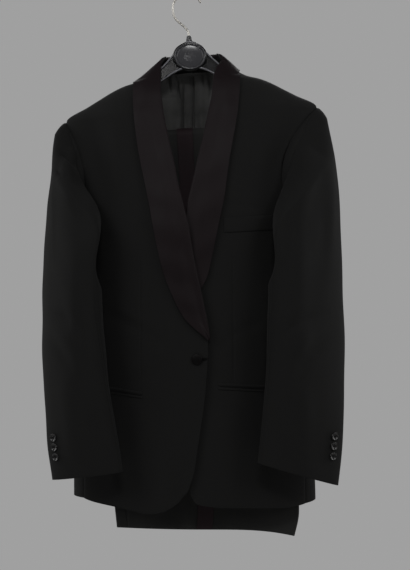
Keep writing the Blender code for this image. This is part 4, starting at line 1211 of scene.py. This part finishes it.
class SUIT_OT_collar(Operator):
    """Lays the satin shawl over the fronts and round the stand"""

    bl_idname = "suit.collar"
    bl_label = "Shawl Collar"

    def execute(self, context):
        wall = context.scene.suit_sizes.wall
        for side, label in SIDES:
            looks = ("Collar satin", "satin", wall)
            cloth(f"satin_shawl_{label}", f"shawl_{label}", *shawl_points(side), *looks)
        phi = np.radians(np.linspace(70, 290, 120))[None]
        z = np.linspace(NECK_LEVEL + 0.0003, -0.1085, 12)[:, None]
        phi, z = np.broadcast_arrays(phi, z)
        jacket_cloth("wool_collar_stand", "collar_stand", body_point(phi, z), body_normal(phi, z))
        return {"FINISHED"}


class SUIT_OT_lining(Operator):
    """Hangs the lining inside the back, with a pleat at its centre"""

    bl_idname = "suit.lining"
    bl_label = "Back Lining"

    def execute(self, context):
        phi = np.radians(np.linspace(122, 238, 250))[None]
        z = np.concatenate([np.linspace(-0.134, -0.26, 52), np.linspace(-0.262, -0.42, 26)])[:, None]
        phi, z = np.broadcast_arrays(phi, z)
        base, normal = body_point(phi, z), body_normal(phi, z)
        x, level = base[..., 0], base[..., 2]
        inward = creased(x, level, LINING_FOLDS) + 0.0006 * unevenness(x, level * 0.4, 0.030, 8)
        inward = np.clip(inward + 0.0060, 0.0, None) + 0.0014
        inward = inward * fade((-0.1268 - z) / 0.012)
        points = base - normal * (inward + 0.0018)[..., None]
        cloth(
            "neck_lining", "back_lining", points, -normal, "Back lining", "lining", 0.0009,
            rests_on=("jacket_back_right", "jacket_back_left"),
        )
        return {"FINISHED"}


class SUIT_OT_sleeves(Operator):
    """Sets the two-piece sleeves into the armholes"""

    bl_idname = "suit.sleeves"
    bl_label = "Sleeves"

    def execute(self, context):
        turn, gap = 2 * math.pi, 0.003
        for side, label in SIDES:
            front, back = seam_tau(side)
            ahead, hind = front + (back - front) / 6, turn - (turn - back) / 2
            spans = (
                (f"top_sleeve_{label}", hind - turn, ahead, HIND_SEAM_AT_CUFF, FRONT_SEAM_AT_CUFF, 72),
                (f"under_sleeve_{label}", ahead, hind, FRONT_SEAM_AT_CUFF, HIND_SEAM_AT_CUFF + turn, 56),
            )
            for name, first, last, cuff_first, cuff_last, columns in spans:
                ends = (first + gap, last - gap, cuff_first + gap, cuff_last - gap)
                jacket_cloth(f"jacket_{name}", name, *sleeve_points(side, *ends, columns))
        return {"FINISHED"}


def strip_points(side, x_span, z_span, height, profile, columns=70):
    """A strip on a front: its middle runs along x_span and z_span, and its lift across is the profile's."""
    across = np.asarray(profile, float)
    share = np.linspace(0, 1, columns)
    x = x_span[0] + (x_span[1] - x_span[0]) * share
    z = z_span[0] + (z_span[1] - z_span[0]) * share - (across[:, :1] - 0.5) * height
    phi = angle_of(x, z)
    ends = fade(share / 0.05) * fade((1 - share) / 0.05)
    wall = bpy.context.scene.suit_sizes.wall
    out = over_lift(side, phi, z) + wall + across[:, 1:] * (0.25 + 0.75 * ends)
    return jacket_point(phi, z, out), body_normal(phi, z)


class SUIT_OT_pockets(Operator):
    """Sews the breast welt and the jetted hip pockets on the fronts"""

    bl_idname = "suit.pockets"
    bl_label = "Pockets"

    def execute(self, context):
        welt = [
            (0.0, 0.0008), (0.03, 0.0014), (0.06, 0.0015), (0.2, 0.0013),
            (0.5, 0.0012), (0.8, 0.0009), (0.94, 0.0006), (1.0, 0.0001),
        ]
        points, normal = strip_points(1, (0.0548, 0.1400), (-0.4155, -0.4140), 0.024, welt)
        jacket_cloth("breast_welt", "chest_welt", points, normal, 0.0012, rests_on=("jacket_front_left",))
        turn = np.linspace(0, math.pi, 9)
        lip = np.stack([0.5 - 0.5 * np.cos(turn), 0.0015 * np.sin(turn)], -1)
        upper, lower = lip * [0.39, 1], lip * [0.39, 1] + [0.61, 0]
        jets = np.concatenate([upper, [(0.43, -0.0010), (0.57, -0.0010)], lower])
        spans = (
            (-1, "right", (-0.1760, -0.0880), (-0.692, -0.7055)),
            (1, "left", (0.0420, 0.1720), (-0.691, -0.7000)),
        )
        for side, label, x_span, z_span in spans:
            points, normal = strip_points(side, x_span, z_span, 0.011, jets)
            under = (f"jacket_front_{label}",)
            jacket_cloth(f"jets_{label}", f"hip_pocket_{label}", points, normal, 0.0007, rests_on=under)
            self.mouth(side, label, x_span, z_span)
        return {"FINISHED"}

    def mouth(self, side, label, x_span, z_span):
        """The slit between the jets: a tube of near-black cloth, painted shade for the deep opening, whose
        radius is a power of a sine.
        """
        share = np.linspace(0.02, 0.98, 70)
        x = x_span[0] + (x_span[1] - x_span[0]) * share
        z = z_span[0] + (z_span[1] - z_span[0]) * share
        phi = angle_of(x, z)
        wall = bpy.context.scene.suit_sizes.wall
        path = jacket_point(phi, z, over_lift(side, phi, z) + wall + 0.0007)
        thinnest = 0.0004
        path, tips = with_round_ends(path, thinnest)
        swell = np.sin(math.pi * np.pad(share, (len(tips) - len(share)) // 2)) ** 0.6
        radius = tips + 0.0016 * swell * (tips == thinnest)
        # The tube's near-black colour is painted shade inside the pocket's opening
        tube(f"pocket_mouth_{label}", path, radius, "Pocket dark", [], "lining", around=12)


def joined(parts):
    """One set of points and faces from several."""
    counts = np.cumsum([0] + [len(points.reshape(-1, 3)) for points, _ in parts])
    points = np.concatenate([points.reshape(-1, 3) for points, _ in parts])
    faces = np.concatenate([faces.reshape(-1, 4) + start for (_, faces), start in zip(parts, counts)])
    return points, faces


class SUIT_OT_buttons(Operator):
    """Sews on the covered closing button with its buttonhole, and three polished buttons on each cuff"""

    bl_idname = "suit.buttons"
    bl_label = "Buttons"

    def execute(self, context):
        self.closing_button(context.scene.suit_sizes.wall)
        for side, label in SIDES:
            for number, level in enumerate(CUFF_BUTTON_LEVELS):
                self.cuff_button(side, label, number + 1, level, context.scene.suit_sizes.wall)
        return {"FINISHED"}

    def closing_button(self, wall):
        """A dome of satin, a quarter ellipse over a tucked-in foot, and its worked buttonhole."""
        z = np.array(BUTTON_LEVEL)
        phi = angle_of(np.array(0.0065), z)
        place = jacket_point(phi, z, over_lift(-1, phi, z) + wall + 0.0006)
        radius, height = 0.0095, 0.0040
        turn = np.linspace(math.pi / 2, -0.9, 16)
        dome = np.stack([radius * np.cos(turn), 0.0018 + height * 0.55 * np.sin(turn)], -1)
        profile = np.concatenate([dome, [(radius * 0.3, 0.0), (0, 0)]])[::-1]
        points, faces = turned(profile, place, body_normal(phi, z), 48)
        solid("covered_button", points, faces, "Button satin", ["front_button"], "front_button")
        turn = np.linspace(0, 2 * math.pi, 64, endpoint=False)
        x = 0.0135 + 0.0095 * np.cos(turn)
        level = BUTTON_LEVEL + 0.0013 * np.sign(np.sin(turn)) * np.abs(np.sin(turn)) ** 0.6
        angle = angle_of(x, level)
        path = jacket_point(angle, level, over_lift(-1, angle, level) + wall + 0.0003)
        stitches = 0.0012 + 0.00012 * np.sin(2.1 * np.arange(64))
        tube(
            "buttonhole", path, stitches, "Button thread", [], "jacket_wool",
            around=8, side=body_normal(phi, z), closed=True,
        )

    def cuff_button(self, side, label, number, level, wall):
        """A dished disc with a raised rim. The dish is sunk by a bell at each of its four sewing holes."""
        tau = math.radians(40.0)
        steps = ((0, 0), (0, 0.02), (0.002, 0))
        around = [sleeve_section(side, np.array(level + dz), np.array(tau + dt)) for dz, dt in steps]
        normal = np.cross(around[1] - around[0], around[2] - around[0])
        normal *= -np.sign(normal[1]) / np.linalg.norm(normal)
        place = placed(*(around[0] + normal * (wall + 0.0006)))
        radius = 0.0072
        profile = rounded([
            (0, 0), (radius * 0.82, 0), (radius, 0.0010), (radius, 0.0022), (radius * 0.90, 0.0033),
            (radius * 0.70, 0.0024), (radius * 0.5, 0.0019), (0, 0.0019),
        ], 0.0007)
        fine = np.linspace(profile[-2], profile[-1], 14)[1:]
        profile = np.concatenate([profile[:-1], fine])
        points, faces = turned(profile, (0, 0, 0), (0, 0, 1), 56)
        spot = 0.0017  # how far each hole is from the middle, across and along
        for x, y in ((spot, spot), (-spot, spot), (spot, -spot), (-spot, -spot)):
            off = (points[..., 0] - x) ** 2 + (points[..., 1] - y) ** 2
            points[..., 2] -= 0.0011 * np.exp(-((off / 0.00075**2) ** 2)) * (points[..., 2] > 0.0012)
        turn = np.array(Vector(normal).to_track_quat("Z", "Y").to_matrix())
        name = f"cuff_button_{label}_{number}"
        solid(f"resin_{name}", points @ turn.T + place, faces, "Button resin", [name], "cuff_buttons")
        bridges = []
        for x in (spot, -spot):
            along = np.linspace(-1, 1, 9)
            lift = 0.0021 + 0.0004 * np.cos(along * math.pi / 2)
            path = np.stack([x + 0 * along, spot * along, lift], -1)
            path, radius = with_round_ends(path @ turn.T + place, 0.00032)
            bridges.append(tube("", path, radius, None, [], "", around=6, side=normal))
        solid(f"thread_{label}_{number}", *joined(bridges), "Button thread", [], "cuff_buttons")


class SUIT_OT_hanger(Operator):
    """Moulds the hanger with its rails, web, boss and trouser bar"""

    bl_idname = "suit.hanger"
    bl_label = "Hanger"

    def execute(self, context):
        x = np.linspace(-HANGER["x"][-1], HANGER["x"][-1], 241)
        top, bottom, half = (read(HANGER, name, np.abs(x)) for name in ("top", "bottom", "half"))
        web = np.full(len(x), HALF_WEB)
        outline = [
            (-half, top - 0.35 * half), (-0.55 * half, top), (0.55 * half, top), (half, top - 0.35 * half),
            (half, top - FLANGE), (web, top - FLANGE), (web, bottom + FLANGE), (half, bottom + FLANGE),
            (half, bottom), (-half, bottom), (-half, bottom + FLANGE), (-web, bottom + FLANGE),
            (-web, top - FLANGE), (-half, top - FLANGE),
        ]
        rings = np.stack([leaning(x, y, z) for y, z in outline], 1)
        count, around = rings.shape[:2]
        faces = grid_faces(count, around, round_columns=True).reshape(-1, 4)
        # Each end is closed with a fan of four-cornered faces across its I shape.
        cap = np.array([
            (13, 4, 3, 0), (3, 2, 1, 0), (12, 5, 4, 13), (11, 6, 5, 12), (10, 7, 6, 11), (9, 8, 7, 10)
        ])
        faces = np.concatenate([faces, cap, cap + (count - 1) * around])
        piece = solid("moulded_hanger", rings, faces, "Hanger plastic", ["hanger"], "hanger_plastic")
        edge = piece.modifiers.new("Edge", "BEVEL")
        edge.width, edge.segments = 0.0021, 4
        edge.limit_method, edge.angle_limit = "ANGLE", math.radians(35)
        shade = piece.modifiers.new("Shade", "WEIGHTED_NORMAL")
        shade.keep_sharp = True
        self.beads()
        self.boss("front", -1)
        self.boss("back", 1)
        self.bar()
        return {"FINISHED"}

    def boss(self, label, facing):
        """An oval disc in the hanger's middle, dished inside a raised rim and painted lighter as a
        highlight, with a near-black ring round its foot as painted shade.
        """
        plastic = "hanger_plastic"
        shape = (
            (0, 0), (1, 0), (1, 0.0030), (0.965, 0.0046), (0.90, 0.0046),
            (0.85, 0.0026), (0.80, 0.0040), (0.4, 0.0046), (0, 0.0047),
        )
        y = facing * 0.0053
        profile = rounded([(DISC_RADIUS * share, height) for share, height in shape], 0.0009)
        points, faces = turned(profile, leaning(0, y, DISC_LEVEL), (0, facing, 0), 96)
        middle, oval = leaning(0, 0, DISC_LEVEL), (1.03, 1.0, 0.86)
        points = middle + (points - middle) * oval
        # The boss's lighter plastic is a painted highlight; the disc is moulded with the rest of the hanger
        solid(f"boss_{label}", points, faces, "Boss plastic", [f"hanger_disc_{label}"], plastic)
        turn = np.linspace(0, 2 * math.pi, 96, endpoint=False)
        ring = 1.03 * DISC_RADIUS * np.stack([np.cos(turn), 0 * turn, np.sin(turn)], -1)
        path = middle + ring * oval + (0, y, 0)
        # The ring's near-black colour is painted shade where the disc meets the web
        tube(f"groove_{label}", path, 0.0014, "Groove plastic", [], plastic, around=10, closed=True)

    def beads(self):
        """A round bead along the front and the back of both rails, far lighter than the hanger: a painted
        highlight on the rails.
        """
        x = np.linspace(-0.192, 0.192, 161)
        for rail, inset in (("top", -0.0022), ("bottom", 0.0022)):
            for y, face in ((-1, "front"), (1, "back")):
                level, half = read(HANGER, rail, np.abs(x)) + inset, read(HANGER, "half", np.abs(x))
                path, radius = with_round_ends(leaning(x, y * (half - 0.0002), level), 0.0015)
                tube(f"rail_{rail}_{face}", path, radius, "Rail plastic", [], "hanger_plastic", around=16)

    def bar(self):
        """Down from each arm, round a quarter circle and across."""
        bend = 3 * BAR_RADIUS
        top = read(HANGER, "bottom", BAR_REACH) - 0.0005
        turn = np.linspace(0, math.pi / 2, 12)
        x = np.concatenate([np.full(8, BAR_REACH), BAR_REACH - bend + bend * np.cos(turn)])
        start = BAR_LEVEL + bend
        z = np.concatenate([np.linspace(top, start, 9)[:-1], start - bend * np.sin(turn)])
        path = leaning(np.concatenate([x, -x[::-1]]), 0.0, np.concatenate([z, z[::-1]]))
        path, radius = with_round_ends(path, BAR_RADIUS)
        tube("moulded_bar", path, radius, "Hanger plastic", ["trouser_bar"], "hanger_plastic")


class SUIT_OT_hook(Operator):
    """Bends the wire hook and seats it in its ferrule"""

    bl_idname = "suit.hook"
    bl_label = "Hook"

    def execute(self, context):
        turn = np.linspace(HOOK_TIP, math.pi, 70)
        centre = -HOOK_RADIUS + WIRE_RADIUS
        tail = np.linspace(0, len(HOOK_TAIL["x"]) - 1, 60)[1:]
        x = np.concatenate([HOOK_RADIUS * np.cos(turn), through(HOOK_TAIL["x"], tail)])
        z = np.concatenate([centre + HOOK_RADIUS * np.sin(turn), through(HOOK_TAIL["z"], tail)])
        smooth = np.ones(7) / 7
        x[3:-3], z[3:-3] = np.convolve(x, smooth, "valid"), np.convolve(z, smooth, "valid")
        path, radius = with_round_ends(leaning(x, 0.0, z), WIRE_RADIUS)
        tube("wire_hook", path, radius, "Hook wire", ["hook"], "hook_wire", around=24)
        foot, top = HANGER["top"][0] - 0.0012, HOOK_TAIL["z"][-1] + 0.0008
        height = top - foot
        profile = rounded([
            (0, 0), (0.0056, 0), (0.0052, 0.0016), (0.0040, height - 0.0008), (0.0024, height), (0, height),
        ], 0.0006)
        points, faces = turned(profile, leaning(0, 0, foot), leaning(0, 0, 1), 40)
        solid("ferrule", points, faces, "Hanger plastic", ["hook_ferrule"], "hanger_plastic")
        return {"FINISHED"}


class SUIT_OT_trousers(Operator):
    """Folds the trousers over the bar, with their waistband and satin stripes"""

    bl_idname = "suit.trousers"
    bl_label = "Trousers"

    def execute(self, context):
        for label in ("L", "R"):
            for part, crease_side in (("front", -1), ("back", 1)):
                points = leg_points(label, crease_side)
                flat = points - points[:, [0, -1]].mean(axis=1, keepdims=True)
                trouser_cloth(f"leg_{part}_{label}", points, flat)
            self.waistband(label, context.scene.suit_sizes.trouser_wall)
            self.stripe(label)
        return {"FINISHED"}

    def waistband(self, label, wall):
        """The band above the leg's seam, flat against the leg's layer."""
        radius = LEG_LAYERS[label] + (LEG_HOLLOW if label == "L" else -wall)
        left, right = (read(LEG_BACK_RUN, name, WAIST_SEAM) for name in ("left", "right"))
        x = left + (right - left) * spaced(60, 0.4)[None]
        z = (WAIST_SEAM - 0.0003 - WAISTBAND * spaced(16, 0.4))[:, None]
        points = leaning(x + 0 * z, radius, z + 0 * x)
        trouser_cloth(f"waistband_{label}", points, np.array([0, 1.0, 0]))

    def stripe(self, label):
        """Down the outseam on the leg's outer face: columns carried along the leg's path."""
        outer = label == "L"
        gap = 0.0016  # the leg's cloth and a little air
        radius = LEG_LAYERS["L"] + LEG_HOLLOW + gap if outer else LEG_LAYERS["R"] - gap
        columns = []
        for across in np.linspace(-1, 1, 13):
            y, z, behind = leg_path(radius)
            left, right = leg_edges(z, behind)
            shift = (0.0 if outer else INNER_LEG_SHIFT) * (1 - behind) * fade((-z - 0.30) / 0.5)
            x = (left + shift + right) / 2 - STRIPE_TWIST + across * STRIPE_HALF
            z = np.where(behind == 0, hem_of_leg(x, left, right, z), z)
            columns.append(leaning(x, y, z))
        points = np.stack(columns, 1)
        y = points[..., 1]
        outward = np.stack([0 * y, np.sign(y), 0.2 + 0 * y], -1)
        # The stripe's satin is painted lighter than the collar's, standing in for light on it in the shade
        cloth(
            f"satin_stripe_{label}", f"stripe_{label}", points, outward, "Stripe satin", "satin", 0.0008,
            inward=not outer, held="folded", rests_on=("moulded_bar",),
        )


class SUIT_OT_stage(Operator):
    """Sets the floor, the even light all round, soft lamps and the camera"""

    bl_idname = "suit.stage"
    bl_label = "Stage"

    def execute(self, context):
        scene, sizes, colours = context.scene, context.scene.suit_sizes, context.scene.suit_colours
        scene.view_settings.view_transform = "Standard"
        self.world(scene, colours.backdrop, sizes.even_light)
        self.floor(scene, colours.floor)
        key, front, rim = sizes.key_power, sizes.front_power, sizes.rim_power
        self.lamp(scene, "key", (-1.9, -1.8, 0.8), (1.3, 1.7), key)
        self.lamp(scene, "fill", (2.0, -1.7, 0.6), (1.3, 1.7), key * 0.75)
        self.lamp(scene, "front", (0.05, -2.7, 1.15), (0.6, 0.5), front)
        self.lamp(scene, "glint", (-0.16, -2.8, 0.19), (0.07, 0.07), front * 0.016)
        self.lamp(scene, "strip_right", (-1.7, 0.3, -0.1), (0.5, 2.0), rim)
        self.lamp(scene, "strip_left", (1.8, 0.3, -0.1), (0.5, 2.0), rim)
        self.lamp(scene, "behind", (0.2, 2.2, 0.9), (1.6, 1.4), key * 0.9)
        camera = bpy.data.cameras.new("camera")
        camera.lens, camera.clip_start, camera.clip_end = 109.5, 0.05, 50.0
        level = (math.pi / 2, 0, 0)
        scene.camera = self.put(scene, "camera", camera, (0.033, -3.08, -0.5154), level)
        return {"FINISHED"}

    def world(self, scene, colour, strength):
        """Even light all round. The camera sees the same colour at full strength."""
        scene.world = bpy.data.worlds.new("Even light")
        scene.world.use_nodes = True
        nodes, links = scene.world.node_tree.nodes, scene.world.node_tree.links
        even, seen = nodes["Background"], nodes.new("ShaderNodeBackground")
        for node, power in ((even, strength), (seen, 1.0)):
            node.inputs["Color"].default_value = (*colour, 1)
            node.inputs["Strength"].default_value = power
        path, mix = nodes.new("ShaderNodeLightPath"), nodes.new("ShaderNodeMixShader")
        for number, socket in enumerate((path.outputs["Is Camera Ray"], even.outputs[0], seen.outputs[0])):
            links.new(socket, mix.inputs[number])
        links.new(mix.outputs[0], nodes["World Output"].inputs["Surface"])

    def floor(self, scene, colour):
        """A wide round floor, well under the suit."""
        turn = np.linspace(0, 2 * math.pi, 96, endpoint=False)
        rings = np.array([1e-5, 1.0, 2.2, 3.4])[:, None]
        points = np.stack([rings * np.cos(turn), rings * np.sin(turn), -1.7 + 0 * rings * turn], -1)
        faces = grid_faces(4, 96, round_columns=True)
        made = Finish("Pale floor", colour, 0.85)
        made.bump(made.noise(made.coordinates("Object", (1, 1, 1)), 8.0), 0.05, 0.002)
        floor = bpy.data.objects.new("floor", sealed(mesh_of("floor", points, faces)))
        floor.data.materials.append(made.material)
        scene.collection.objects.link(floor)

    def lamp(self, scene, name, place, size, power):
        """A soft rectangular lamp, aimed at the middle of the suit."""
        light = bpy.data.lights.new(name, "AREA")
        light.shape, light.size, light.size_y, light.energy = "RECTANGLE", *size, power
        aim = Vector((0.03, 0.0, -0.48)) - Vector(place)
        self.put(scene, name, light, place, aim.to_track_quat("-Z", "Y").to_euler())

    def put(self, scene, name, data, place, turn):
        made = bpy.data.objects.new(name, data)
        made.location, made.rotation_euler = place, turn
        scene.collection.objects.link(made)
        return made


STEPS = (
    SUIT_OT_hanger, SUIT_OT_hook, SUIT_OT_fronts, SUIT_OT_backs, SUIT_OT_collar, SUIT_OT_lining,
    SUIT_OT_sleeves, SUIT_OT_pockets, SUIT_OT_buttons, SUIT_OT_trousers, SUIT_OT_stage,
)


class SUIT_PT_panel(Panel):
    bl_label = "Dinner Suit"
    bl_space_type = "VIEW_3D"
    bl_region_type = "UI"
    bl_category = "Suit"

    def draw(self, context):
        for group in (context.scene.suit_sizes, context.scene.suit_colours):
            box = self.layout.box()
            for name in group.__annotations__:
                box.prop(group, name)
        for step in STEPS:
            self.layout.operator(step.bl_idname)


CLASSES = (SuitSizes, SuitColours, *STEPS, SUIT_PT_panel)


def register():
    for cls in CLASSES:
        bpy.utils.register_class(cls)
    bpy.types.Scene.suit_sizes = PointerProperty(type=SuitSizes)
    bpy.types.Scene.suit_colours = PointerProperty(type=SuitColours)


def unregister():
    del bpy.types.Scene.suit_colours
    del bpy.types.Scene.suit_sizes
    for cls in reversed(CLASSES):
        bpy.utils.unregister_class(cls)


def main():
    register()
    for step in STEPS:
        group, name = step.bl_idname.split(".")
        getattr(getattr(bpy.ops, group), name)()


if __name__ == "__main__":
    main()
